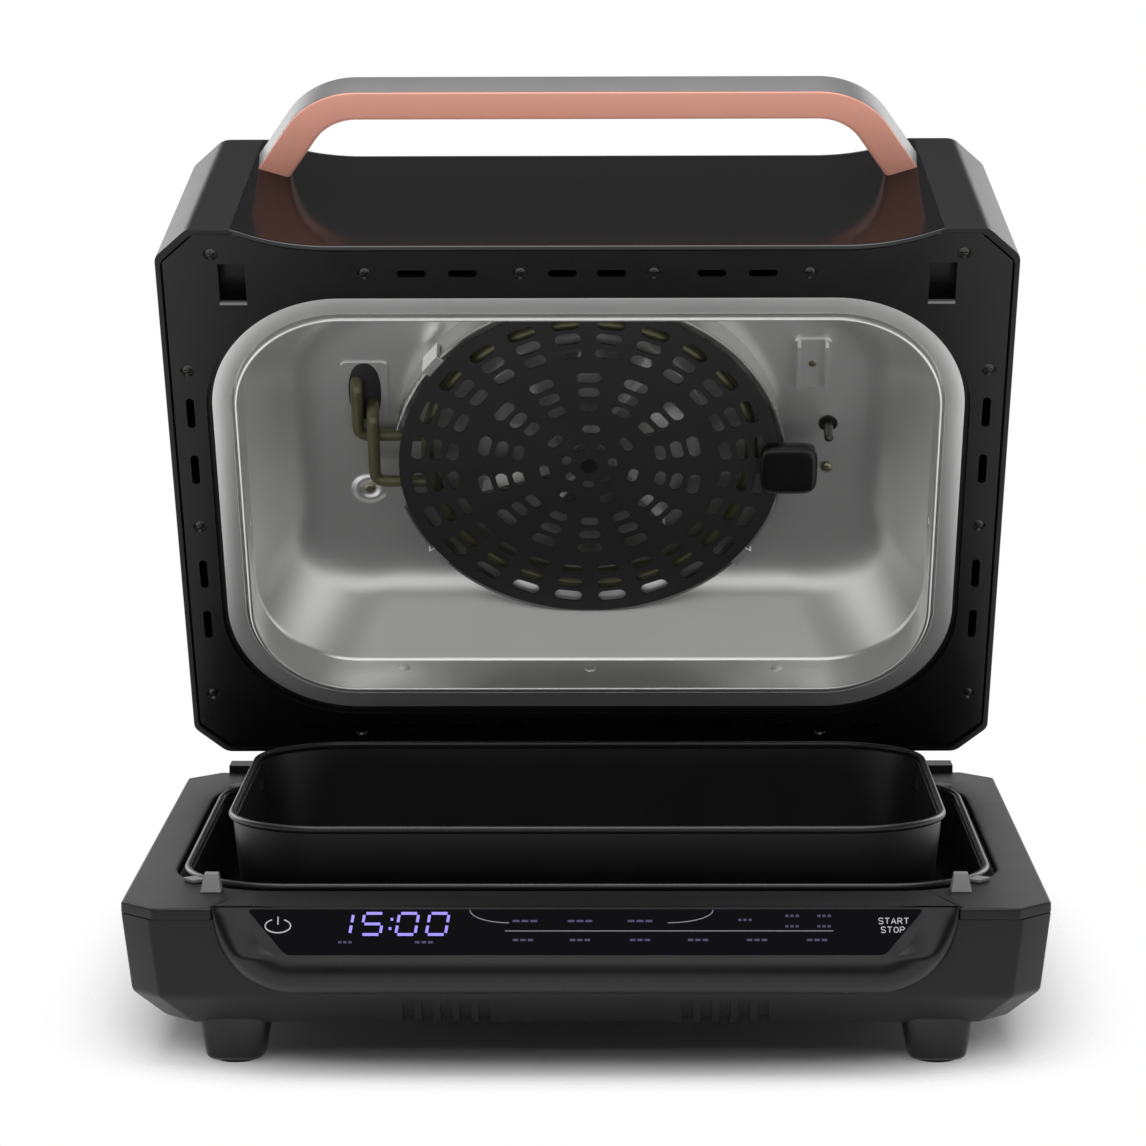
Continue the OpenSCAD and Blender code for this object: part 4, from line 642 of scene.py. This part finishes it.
steps = lip_band * np.concatenate([[0], np.linspace(0, 1, 25)[1:] ** crowding])
fascia = []
for s in steps:
    flat = fascia_outline(s)
    run_out = np.minimum(1, (fascia_top - flat[:, 1]) / slope_h)
    fascia.append(np.stack([flat[:, 0], -lip_reach(s) * run_out, flat[:, 1]], 1))
hidden = fascia[0] * [1, 0, 1] + [0, fascia_back, 0]
middle = fascia[-1] * [draw_in, 0, 0] + [0, 0, fascia_top]
rear = hidden * [draw_in, 1, 0] + [0, 0, fascia_top]
band = np.stack([rear, hidden] + fascia + [middle])
make_piece("fascia_boat", "black_shell", "base", [band], ["front_fascia"], sharp=50.0, around=False,
           closed=True)

# %% [markdown]
# ## Control glass
# A thin black glass lies on the slope. It is wider at the top. Marks on the glass are laid out in two
# directions, x across and b down the slope, so one function places the glass and everything printed on it.

# %% Control glass
slope_a = np.arctan2(slope_out, slope_h)
glass_top, glass_low, glass_b0, glass_b1, glass_lift, glass_under = 151.5, 133.8, 0.8, 21.6, 0.25, -1.2


def on_slope(x, b, lift):
    """Point on the slope: x across, b down from its top edge, lift out of the face."""
    y = -b * np.sin(slope_a) - lift * np.cos(slope_a)
    z = fascia_top - b * np.cos(slope_a) + lift * np.sin(slope_a)
    return np.stack(np.broadcast_arrays(x, y, z), -1)


corners = [[-glass_top, glass_b0], [glass_top, glass_b0], [glass_low, glass_b1], [-glass_low, glass_b1]]
glass = eased(corners, 2.5, 8)
centre = np.array([0, (glass_b0 + glass_b1) / 2])
spine = glass * [0.85, 0] + centre
sheet = [(spine, glass_under), (glass, glass_under), (glass, glass_lift - 0.2),
         (glass + (centre - glass) * [0.0013, 0.02], glass_lift), (spine, glass_lift)]
sheet = np.stack([on_slope(p[:, 0], p[:, 1], lift) for p, lift in sheet])
make_piece("control_glass_plate", "control_glass", "base", [sheet], ["control_glass"], sharp=30.0)

# %% [markdown]
# ## Pan, pot and lining
# All three are drawn from sheet, so they share one form: a profile carried round a rounded rectangle. Each
# column of the grid has a corner centre and a ray. A point lies on the ray at the corner radius less the
# inset of the profile, and a pull draws the centres together where the floor closes at the middle.

# %% Drawn sheet
def rays_round(half_x, half_y, radius, extra=(), steps=16):
    """Corner centres and outward rays round a rounded rectangle, with columns at extra y on both sides."""
    quarter = np.linspace(0, np.pi / 2, steps + 1)
    turn = (np.arange(4)[:, None] * np.pi / 2 + quarter).ravel()
    hold = half_x - radius
    centre = np.repeat([[1, 1], [-1, 1], [-1, -1], [1, -1]], steps + 1, 0) * [hold, half_y - radius]
    extra = np.sort(np.array(extra, float))
    left = np.stack([np.full(len(extra), -hold), extra[::-1]], 1)
    right = np.stack([np.full(len(extra), hold), extra], 1)
    cut = 2 * (steps + 1)
    centre = np.concatenate([centre[:cut], left, centre[cut:], right])
    turn = np.concatenate([turn[:cut], np.full(len(extra), np.pi), turn[cut:], np.zeros(len(extra))])
    return centre, np.stack([np.cos(turn), np.sin(turn)], 1)


def drawn_sheet(columns, radius, profile, rear=0.0, follow=0.0):
    """Grid of a profile of (inset, pull, z) carried round the columns, about the middle of the opening. On
    the rear half the inset grows by the share rear times the square of the ray's share of the way back. The
    corner centres follow the inset by a share of it, which keeps the corners of a leaning wall wide."""
    centre, ray = columns
    inset, pull = profile[:, 0, None, None], profile[:, 1, None, None]
    shift = follow * inset * np.stack([np.sign(centre[:, 0]), np.where(centre[:, 1] > 0, 1 + rear, -1)], -1)
    inset = inset * (1 + rear * np.clip(ray[:, 1:], 0, 1) ** 2)
    flat = (centre - shift + ray * np.clip(radius - (1 - follow) * inset, 0, None)) * (1 - pull) + [0, cook_y]
    return at_height(flat, profile[:, 2:])


def unpulled(path):
    """A path of (inset, z) as a profile without any pull."""
    return np.column_stack([path[:, 0], np.zeros(len(path)), path[:, 1]])


def rolled_tray(radius, floor_z, rim_z, ease, marks=(), roll=1.8, sheet=2.0, lean=np.radians(6.0)):
    """Profile of a tray: underside, outer wall, rolled rim, inner wall, floor. Marks are heights of more
    rows. The outer wall's last row and the inner wall's first row come with it."""
    foot = roll + (rim_z - floor_z) * np.tan(lean)
    outer = eased([[radius, floor_z], [foot, floor_z], [roll + 0.2, rim_z - roll]], [0, ease, 0], 10, False)
    at = np.array(marks, float)
    outer = np.concatenate([outer[:-11], np.stack([roll + (rim_z - at) * np.tan(lean), at], 1), outer[-1:]])
    turn = np.radians(np.linspace(262, -50, 25))
    bead = np.stack([roll + roll * np.cos(turn), rim_z + roll * np.sin(turn)], 1)
    inner = eased([[roll + sheet, rim_z - roll], [foot + sheet, floor_z + sheet], [radius, floor_z + sheet]],
                  [0, ease - sheet, 0], 10, False)
    at = at[::-1]
    levels = np.stack([roll + sheet + (rim_z - at) * np.tan(lean), at], 1)
    inner = np.concatenate([inner[:1], levels, inner[11:]])
    skin = unpulled(np.concatenate([outer, bead, inner]))
    profile = np.concatenate([[[radius, 1.0, floor_z]], skin, [[radius, 1.0, floor_z + sheet]]])
    return profile, len(outer), len(outer) + len(bead) + 1


# %% [markdown]
# ### The pan and its pot
# Both wear a dark non-stick coat. The pot stands in the pan, and four slots near its corners take a lifting
# hook: those cells of the grid are left open on both walls, and four small walls join the two skins round
# each slot.

# %% Pan
pan_x, pan_y, pan_r = 188.5, 132.0, 50.0
pan_profile = rolled_tray(pan_r, 36.0, 77.6, 10.0)[0]
pan_grid = drawn_sheet(rays_round(pan_x, pan_y, pan_r), pan_r, pan_profile)
make_piece("coated_pan", "pan_coat", "base", [pan_grid], ["grill_pan"])

# %% Pot
pot_x, pot_y, pot_r, pot_floor, pot_rim = 169.0, 112.0, 46.0, 38.1, 100.2
slot_mid, slot_reach = 57.0, 9.0
slot_levels = [pot_rim - 12.5, pot_rim - 7.5]
pot_profile, last_outer, first_inner = rolled_tray(pot_r, pot_floor, pot_rim, 12.0, slot_levels)
slot_near, slot_far = slot_mid - slot_reach, slot_mid + slot_reach - 0.01
pot_columns = rays_round(pot_x, pot_y, pot_r, [-slot_far, -slot_near, slot_near, slot_far])
pot_grid = drawn_sheet(pot_columns, pot_r, pot_profile)
outer_row, inner_row = last_outer - 2, first_inner + 2
count = len(pot_columns[0])
# The four extra columns of a side come last in their half of the columns, and two of them bound a slot
first_of_slot = np.array([count // 2 - 4, count // 2 - 2, count - 4, count - 2])
pairs = np.stack([first_of_slot, first_of_slot + 1], 1)
holes = np.zeros((len(pot_profile) - 1, count), bool)
holes[outer_row, pairs[:, 0]] = True
holes[inner_row - 1, pairs[:, 0]] = True


def slot_rim(low, high):
    """Point numbers round each slot on one skin: along its low row and back along its high one."""
    return np.concatenate([low * count + pairs, high * count + pairs[:, ::-1]], 1)


out, within = slot_rim(outer_row, outer_row + 1), slot_rim(inner_row, inner_row - 1)
slot_walls = np.stack([out, np.roll(out, -1, 1), np.roll(within, -1, 1), within], -1)
make_piece("coated_pot", "pan_coat", "base", [pot_grid], ["cooking_pot"], holes=holes, walls=slot_walls)
print("lifting slots", len(pairs))

# %% [markdown]
# ### The lid's lining and its ring
# The lining is a bright drawn tray turned upside down. Its walls lean in, most of all at the rear, and a
# wide sweep takes them into the ceiling: that sweep gathers the light into the soft bright patches seen in
# its lower corners. A ring finishes its mouth: a raised band, a narrow groove, and a lip with a curled
# edge.

# %% Lining
ceiling_z, liner_low, sheet_t = 140.2, 90.6, 0.8
lip_top, slope_run, sweep, rear_share, follow = 104.0, 27.0, 16.0, 0.35, 0.7
liner_x, liner_y, liner_r = 174.15, 118.65, 54.15


def lining_wall(inset, top):
    """Straight lip, a wall that leans in by slope_run on its way up, and a wide sweep into the ceiling."""
    corners = [[inset, liner_low], [inset, lip_top], [inset + slope_run, top], [liner_r, top]]
    return eased(corners, [0, 2.5, sweep, 0], 14, False)


within, without = lining_wall(sheet_t, ceiling_z), lining_wall(0.0, ceiling_z + sheet_t)
lining = np.concatenate([unpulled(within), [[liner_r, 1.0, ceiling_z], [liner_r, 1.0, ceiling_z + sheet_t]],
                         unpulled(without[::-1])])
liner_columns = rays_round(liner_x, liner_y, liner_r, steps=24)
lining = drawn_sheet(liner_columns, liner_r, lining, rear_share, follow)
make_piece("drawn_lining", "bright_steel", "lid", [lining], ["liner"], closed=True)

# %% Ring
ring_x, ring_y, ring_r, ring_z, flange_w, curl_r = 182.3, 126.8, 62.3, 88.7, 10.0, 1.1
rise_out, rise_in, rise_z, curl_z, ring_top = 3.2, 6.4, 83.1, 81.6, 106.2
turn = np.radians(np.linspace(180, 360, 13))
curl = np.stack([flange_w - curl_r + curl_r * np.cos(turn), curl_z + curl_r + curl_r * np.sin(turn)], 1)
raised = eased([[0.4, rise_z + 0.5], [-rise_out, rise_z + 0.5], [-rise_out, rise_z], [rise_in, rise_z],
                [rise_in, ring_z], [flange_w - 2 * curl_r, ring_z]], [0, 0.2, 0.2, 1.0, 0.3, 0], 5, False)
flange = np.concatenate([[[1.2, ring_z + sheet_t], [1.2, rise_z + 0.6]], raised, curl,
                         [[flange_w, ring_top], [flange_w - sheet_t, ring_top],
                          [flange_w - sheet_t, ring_z + 2.0], [flange_w - 2.5, ring_z + sheet_t]]])
ring_grid = drawn_sheet(rays_round(ring_x, ring_y, ring_r, steps=24), ring_r, unpulled(flange))
make_piece("curled_ring", "bright_steel", "lid", [ring_grid], ["rim_ring"], closed=True)

# %% [markdown]
# ## Feet and grip
# Four tapered feet carry the base. Each is a stack of rounded squares that widens upward, drawn with a
# superellipse: the two coordinates are powers of a cosine and a sine, and a small power gives a squarer
# outline. The grip on the splatter shield is a soft tab, the same curve carried over a second one.

# %% Feet
def squarish(turn, power):
    """Superellipse: cosine and sine raised to a power, signs kept."""
    return np.stack([np.sign(f) * np.abs(f) ** power for f in (np.cos(turn), np.sin(turn))], -1)


foot_power, grip_power = 0.42, 0.45
foot_turn = np.linspace(0, 2 * np.pi, 64, endpoint=False)
foot_levels = np.array([[0.0, 1.5], [10.2, 1.5], [11.6, 1.7], [13.0, 2.9], [13.5, 4.0], [16.4, 20.0],
                        [16.5, 23.0], [0.0, 23.0]])
foot_rows = at_height(squarish(foot_turn, foot_power)[None] * foot_levels[:, :1, None], foot_levels[:, 1:])
foot_places = [(x, y) for x in (-160.0, 160.0) for y in (34.5, 296.5)]
make_piece("tapered_feet", "black_shell", "base", [foot_rows + [x, y, 0] for x, y in foot_places], ["feet"])

# %% Shield grip
shield_z, grip_half = 119.2, np.array([14.5, 15.0, 4.5])
grip_at = [101.5, cook_y, shield_z - 1.5]
ring_share = squarish(np.linspace(-np.pi / 2, np.pi / 2, 25), grip_power)
round_turn = np.linspace(0, 2 * np.pi, 72, endpoint=False)
grip = at_height(squarish(round_turn, grip_power)[None] * ring_share[:, :1, None], ring_share[:, 1:])
make_piece("shield_tab", "black_shell", "shield", [grip * grip_half + grip_at], ["shield_grip"], sharp=60.0)

# %% [markdown]
# ## Screws and rivets
# The bezel's screws lie in pits. Each is a polar grid: a low dome with a cross sunk in it, then a cone that
# rises to the edge of the pit. Rivets are plain domes.

# %% Screws and rivets
def polar(radius, depth):
    """Grid of revolution: depth is a function of x and y that gives how far a point lies into the part."""
    r = np.linspace(0, radius, 29)[:, None]
    x, y = r * np.cos(round_turn), r * np.sin(round_turn)
    top = np.stack([x, y, depth(x, y)], -1)
    edge = top[-1] * [1, 1, 0] + [0, 0, pit_deep]
    return np.concatenate([top, edge[None], (edge * [0, 0, 1])[None]])


head_r, pit_r, pit_deep, head_deep, head_high, thin = 2.6, 3.4, 1.9, 1.35, 0.6, 0.05
cross_half, cross_long, cross_deep = 0.40, 0.62 * head_r, 0.5
proud_r, rivet_high, screw_edge, rivet_edge = 3.0, 0.9, 0.3, 0.2


def cross(x, y):
    """Depth of the cross: none outside its two bars."""
    x, y = np.abs(x), np.abs(y)
    upright, level = (x < cross_half) & (y < cross_long), (y < cross_half) & (x < cross_long)
    return cross_deep * (upright | level)


def dome(x, y, radius):
    """Height of a dome with a top of 1: the root of 1 less the square of the distance over the radius."""
    return np.sqrt(np.clip(1 - (np.hypot(x, y) / radius) ** 2, 0, 1))


def sunk_screw(x, y):
    """A dome over the head, lowered where the cross lies, and a cone from its edge to the pit's edge."""
    r = np.hypot(x, y)
    head = head_deep - head_high * dome(x, y, head_r) + cross(x, y)
    cone = head_deep * np.clip((pit_r - r) / (pit_r - head_r), 0, 1)
    return np.where(r < head_r, head, cone) + thin


def proud_screw(x, y):
    """A head standing on a surface: a dome on a low edge, lowered where the cross lies."""
    return pit_deep - head_deep * (screw_edge + (1 - screw_edge) * dome(x, y, proud_r)) + cross(x, y)


def plain_dome(x, y):
    """A rivet: a dome on a low edge."""
    return pit_deep - rivet_high * (rivet_edge + (1 - rivet_edge) * dome(x, y, proud_r))


def turned(points, axis):
    """Points whose outward side, -z, is turned to an axis along x or y."""
    out = np.array(axis, float)
    side = np.array([0, 0, 1.0])
    x, y, depth = points[..., :1], points[..., 1:2], points[..., 2:]
    return x * side + y * np.cross(out, side) + (pit_deep - depth) * out


# %% Screws of the bezel and the ceiling
bezel_z, front_y, corner_x, side_x, rear_x = 80.2, 26.4, 180.5, 196.0, 120.0
screw_at = [(s * x, front_y) for s in (-1, 1) for x in (107.0, 32.1)]
screw_at += [(s * corner_x, 15.0) for s in (-1, 1)]
screw_at += [(s * side_x, y) for s in (-1, 1) for y in (84.07, 181.06, 291.9)]
screw_at += [(s * rear_x, 317.0) for s in (-1, 1)]
sunk = [polar(pit_r, sunk_screw) + [x, y, bezel_z] for x, y in screw_at]
make_piece("bezel_cross_screws", "fastener", "lid", sunk, ["bezel_screws"])

boss_x, boss_y, post_r = -114.0, 30.0, 46
roof_screws = [(122.0, 16.0, 1.2), (boss_x, boss_y, 0), (113.0, -50.0, 0)]
roof_screws += [(post_r * np.cos(t), post_r * np.sin(t), 0) for t in np.radians([90, 210, 330])]
proud = [polar(proud_r, proud_screw) + [x, cook_y + y, ceiling_z - pit_deep - drop]
         for x, y, drop in roof_screws]
zinc = finish("yellow_zinc", (0.36, 0.33, 0.24), 0.34, metal=1.0, lift=0.05, tone=0.2)
make_piece("lining_cross_screws", "fastener", "lid", proud, ["liner_screws"], skin=zinc)

# %% Rivets of the ring
rivet = polar(proud_r, plain_dome)
rivet_z, rivet_x, rivet_y, inner_x, inner_y = ring_z + 9.6, 97.2, 20, 172.3, 116.8
rivets = [turned(rivet, (0, -y, 0)) + [x * rivet_x, cook_y + y * inner_y, rivet_z]
          for x in (-1, 0, 1) for y in (-1, 1)]
rivets += [turned(rivet, (-x, 0, 0)) + [x * inner_x, cook_y + rivet_y, rivet_z] for x in (-1, 1)]
make_piece("ring_rivets", "fastener", "lid", rivets, ["rim_rivets"], skin=finishes["bright_steel"])

# %% [markdown]
# ### Small fittings inside the lid
# Three details finish the lid. The screw left of the shield sits in a ring that is pressed out of the
# ceiling, the heater's two ends come out of one dark oval, a black sheet that is painted shade for the
# recess they pass through, and a pale lip edges each latch pocket at its rear.

# %% Pressed ring
boss_from, boss_to, boss_high = 3.0, 10.0, 1.0


def pressed_ring(x, y):
    """A ridge between two radii, the square of half a sine wave high, on a thin skin."""
    share = np.clip((np.hypot(x, y) - boss_from) / (boss_to - boss_from), 0, 1)
    return pit_deep - thin - boss_high * np.sin(np.pi * share) ** 2


boss = polar(boss_to, pressed_ring) + [boss_x, cook_y + boss_y, ceiling_z - pit_deep]
make_piece("pressed_screw_ring", "bright_steel", "lid", [boss])

# %% Heater oval and pocket lips
# A black sheet on the heater plate: painted shade for the recess that the heater's ends pass through.
oval_x, oval_y, oval_half, plate_low = -114.0, -33.0, [8.2, 17.5], 139.1
oval = squarish(foot_turn, 0.85) * oval_half
oval_levels = [(0.0, 0.1), (1.0, 0.1), (1.0, -0.35), (0.95, -0.6), (0.0, -0.6)]
oval_at = [oval_x, cook_y + oval_y]
oval = np.stack([at_height(share * oval + oval_at, plate_low + z) for share, z in oval_levels])
make_piece("heater_oval_painted_shade", "rubber", "lid", [oval])

pocket_x, pocket_rear, lip_half, lip_w, lip_up, lip_proud = 171.0, 44.6, 6.6, 1.6, 1.8, 0.15
lip_cut = eased([[-lip_w, -lip_proud], [0, -lip_proud], [0, lip_up], [-lip_w, lip_up]], 0.3)
lip_cut = np.column_stack([np.zeros(len(lip_cut)), lip_cut]) + [0, pocket_rear, bezel_z]
lips = [shut_ends(np.stack([lip_cut + [x - lip_half, 0, 0], lip_cut + [x + lip_half, 0, 0]]))
        for x in (-pocket_x, pocket_x)]
make_piece("pocket_lips", "pale_lug", "lid", lips)

# %% [markdown]
# ## Softened edges
# The remaining solids are right in shape but have knife edges, and no real moulding or cut sheet has those.
# A copy of each is merged, its flat triangles are joined into whole faces, and a small Bevel takes off
# every sharp edge, so that each edge catches a thin line of light.

# %% Softened edges
def softened(node, body, width, flat=np.radians(0.5), sharp=np.radians(32.0)):
    """A bevelled copy of a solid that stands for it."""
    mesh = frame["nodes"][node].data.copy()
    mesh.name = node + "_soft"
    work = bmesh.new()
    work.from_mesh(mesh)
    bmesh.ops.remove_doubles(work, verts=work.verts, dist=weld)
    bmesh.ops.dissolve_limit(work, angle_limit=flat, verts=work.verts, edges=work.edges)
    work.to_mesh(mesh)
    work.free()
    if node == "lid_bezel":
        mesh.shade_flat()
    else:
        mesh.shade_smooth()
        mesh.set_sharp_from_angle(angle=sharp)
    piece = show(node + "_soft", mesh)
    bevel = piece.modifiers.new("soft_edge", "BEVEL")
    bevel.width, bevel.segments = width * mm, 3
    bevel.limit_method, bevel.angle_limit, bevel.harden_normals = "ANGLE", sharp, True
    hand_over(piece, body, [node])


for node, slot, body, width in (
        ("lid_bezel", "black_shell", "lid", 0.5), ("fan_shroud", "bright_steel", "lid", 0.2),
        ("sensor_bracket", "bright_steel", "lid", 0.4), ("heater_plate", "bright_steel", "lid", 0.3),
        ("shield_clips", "bright_steel", "lid", 0.2), ("hinge_arms", "shell", "lid", 0.8),
        ("latch_posts", "pale_lug", "base", 0.5), ("pan_lugs", "pale_lug", "base", 0.5),
        ("hinge_housing", "shell", "base", 0.8), ("bottom_plate", "black_shell", "base", 0.4),
        ("splatter_shield", "shield_coat", "shield", 0.2)):
    softened(node, body, width)
# A darker copy of the satin steel on the collar: painted shade for its wall, which lies in shadow.
collar_steel_painted_shade = finish("collar_steel_painted_shade", (0.36, 0.36, 0.35), 0.33, metal=1.0, lift=0.0, uneven=0.02, tone=0.03)
bpy.data.objects["fan_shroud_soft"].data.materials[0] = collar_steel_painted_shade

# %% [markdown]
# ## Marks on the glass
# The display is lit from behind. Every mark is a thin ribbon laid along a line: the digits are slanted
# seven-segment figures, the words and the power sign are drawn with the same pen, and short bars stand for
# the programme names. A ribbon's section is a flat box carried along the line with its ends shut, so it is
# a closed piece too.

# %% Pen and lit inks
def ribbon(line, width, lift=glass_lift, thick=0.05):
    """Box section along a line of (x, b) points, which are moved both ways along the line's normal."""
    line = np.array(line, float)
    along = np.gradient(line, axis=0)
    across = np.stack([-along[:, 1], along[:, 0]], 1) / np.linalg.norm(along, axis=1, keepdims=True)
    across = across * width / 2
    left, right = line + across, line - across
    corners = [(left, lift), (right, lift), (right, lift + thick), (left, lift + thick)]
    rows = np.stack([on_slope(p[:, 0], p[:, 1], h) for p, h in corners], 1)
    return shut_ends(rows)


def lit_ink(name, colour, glow):
    """Light that seeps through print: a fine noise makes it a little uneven."""
    material, tree, place = start(name)
    speck = add(tree, "TexNoise", [(place, "Vector")], Scale=1500.0)
    dim = tuple(0.8 * c for c in colour) + (1,)
    ink = add(tree, "MixRGB", [(speck, 0)], Color1=dim, Color2=tuple(colour) + (1,))
    shader = add(tree, "BsdfPrincipled", [(ink, "Base Color"), (ink, "Emission Color")],
                 Roughness=0.4, Emission_Strength=glow)
    add(tree, "OutputMaterial", [(shader, "Surface")])
    return material


def lit_marks(name, lines, width, ink):
    """A piece of ribbons of one width in one ink."""
    make_piece(name, "control_glass", "base", [ribbon(line, width) for line in lines], skin=ink)


violet = lit_ink("violet_light", (0.30, 0.25, 0.85), 0.7)
faint = lit_ink("faint_light", (0.065, 0.06, 0.14), 0.2)
white = lit_ink("white_light", (0.55, 0.55, 0.57), 0.2)
dusk = lit_ink("thin_light", (0.26, 0.26, 0.28), 0.15)

# %% Digits
digit_top, digit_low, digit_slant = 2.7, 12.3, 0.17
digit_w, pen_w, notch_w = 8.6, 1.25, 0.75
bar_ends = {"a": (0, 0, 1, 0), "b": (1, 0, 1, 1), "c": (1, 1, 1, 2), "d": (0, 2, 1, 2), "e": (0, 1, 0, 2),
            "f": (0, 0, 0, 1), "g": (0, 1, 1, 1)}
lit_segments = {"1": "bc", "5": "afgcd", "0": "abcdef"}


def segment(left, key):
    """One bar of a figure, from corner to corner of its half cell, less a notch at each end, then slanted."""
    corner = np.array(bar_ends[key], float).reshape(2, 2) * [digit_w, (digit_low - digit_top) / 2]
    run = (corner[1] - corner[0]) / np.linalg.norm(corner[1] - corner[0])
    corner += np.outer([notch_w, -notch_w], run)
    line = corner[0] + np.linspace(0, 1, 3)[:, None] * (corner[1] - corner[0])
    return line + [left, digit_top] - np.outer(line[:, 1], [digit_slant, 0])


figures = [("1", -112.2), ("5", -98.6), ("0", -83.0), ("0", -69.4)]
lines = [segment(left, key) for figure, left in figures for key in lit_segments[figure]]
lines += [[[x - 0.6, b], [x, b], [x + 0.6, b]] for x, b in ((-86.4, 5.4), (-87.2, 9.6))]
lit_marks("clock_digits", lines, pen_w, violet)

# %% Power sign, words and rules
sign_at, sign_r = np.array([-137.4, 8.4]), np.array([5.7, 3.1])
turn = np.radians(np.linspace(-62, 242, 41))
power = [sign_at + sign_r * np.stack([np.cos(turn), np.sin(turn)], 1),
         sign_at + np.stack([np.zeros(5), np.linspace(-4.2, -0.6, 5)], 1)]
letters = {
    "S": [[(1, .12), (.8, 0), (.2, 0), (0, .2), (.15, .44), (.85, .56), (1, .8), (.8, 1), (.2, 1), (0, .88)]],
    "T": [[(0, 0), (.5, 0), (1, 0)], [(.5, 0), (.5, .5), (.5, 1)]],
    "A": [[(0, 1), (.25, .5), (.5, 0), (.75, .5), (1, 1)], [(.2, .66), (.5, .66), (.8, .66)]],
    "O": [[(.5, 0), (.85, .12), (1, .5), (.85, .88), (.5, 1), (.15, .88), (0, .5), (.15, .12), (.45, 0)]],
    "P": [[(0, 1), (0, .5), (0, 0), (.7, 0), (1, .25), (.7, .5), (.1, .5)]],
}
letters["R"] = letters["P"] + [[(.5, .5), (.75, .75), (1, 1)]]


def word(text, middle, letter=(2.0, 2.5), pitch=2.85):
    """Pen lines of a word centred on a point."""
    left = middle[0] - (pitch * (len(text) - 1) + letter[0]) / 2
    top = middle[1] - letter[1] / 2
    return [np.array(line) * letter + [left + k * pitch, top]
            for k, c in enumerate(text) for line in letters[c]]


words = word("START", (137.8, 6.2)) + word("STOP", (137.4, 10.2))
lit_marks("power_sign", power, 0.55, white)
lit_marks("start_stop_words", words, 0.42, white)
rule_b, rule_from, rule_to = 10.7, -35.8, 110.7


def bow_line(high, low):
    """Quarter of an ellipse from its high end, where it runs down, to its low end, where it runs level."""
    turn = np.linspace(0, 1, 15) * np.pi / 2
    share = np.stack([1 - np.cos(turn), np.sin(turn)], 1)
    return np.array(high) + (np.array(low) - high) * share


rules = [np.stack([np.linspace(rule_from, rule_to, 9), np.full(9, rule_b)], 1),
         bow_line((-51.5, 1.2), (-34.0, 7.0)), bow_line((57.2, 1.2), (37.0, 7.0))]
lit_marks("display_rules", rules, 0.42, dusk)

# %% Programme bars
bars = [(x, 6.2, 11.0) for x in (-26.9, -2.3, 24.5)]
bars += [(x, 14.8, 9.0) for x in (-27.7, -2.3, 24.5, 50.4, 76.7, 103.5)]
bars += [(x, b, 6.0) for x, b in ((71.5, 5.7), (92.5, 3.9), (106.8, 3.9), (92.4, 8.6), (106.7, 8.6))]
bars += [(-107.3, 15.8, 6.0), (-72.0, 15.8, 8.0)]


def bar_row(x, b, long, parts=3, gap=0.9):
    """Short dashes in a row, centred on a point."""
    dash = (long - gap * (parts - 1)) / parts
    left = x - long / 2 + np.arange(parts) * (dash + gap)
    return [np.stack([np.linspace(a, a + dash, 3), np.full(3, b)], 1) for a in left]


lit_marks("programme_bars", [line for bar in bars for line in bar_row(*bar)], 1.0, faint)
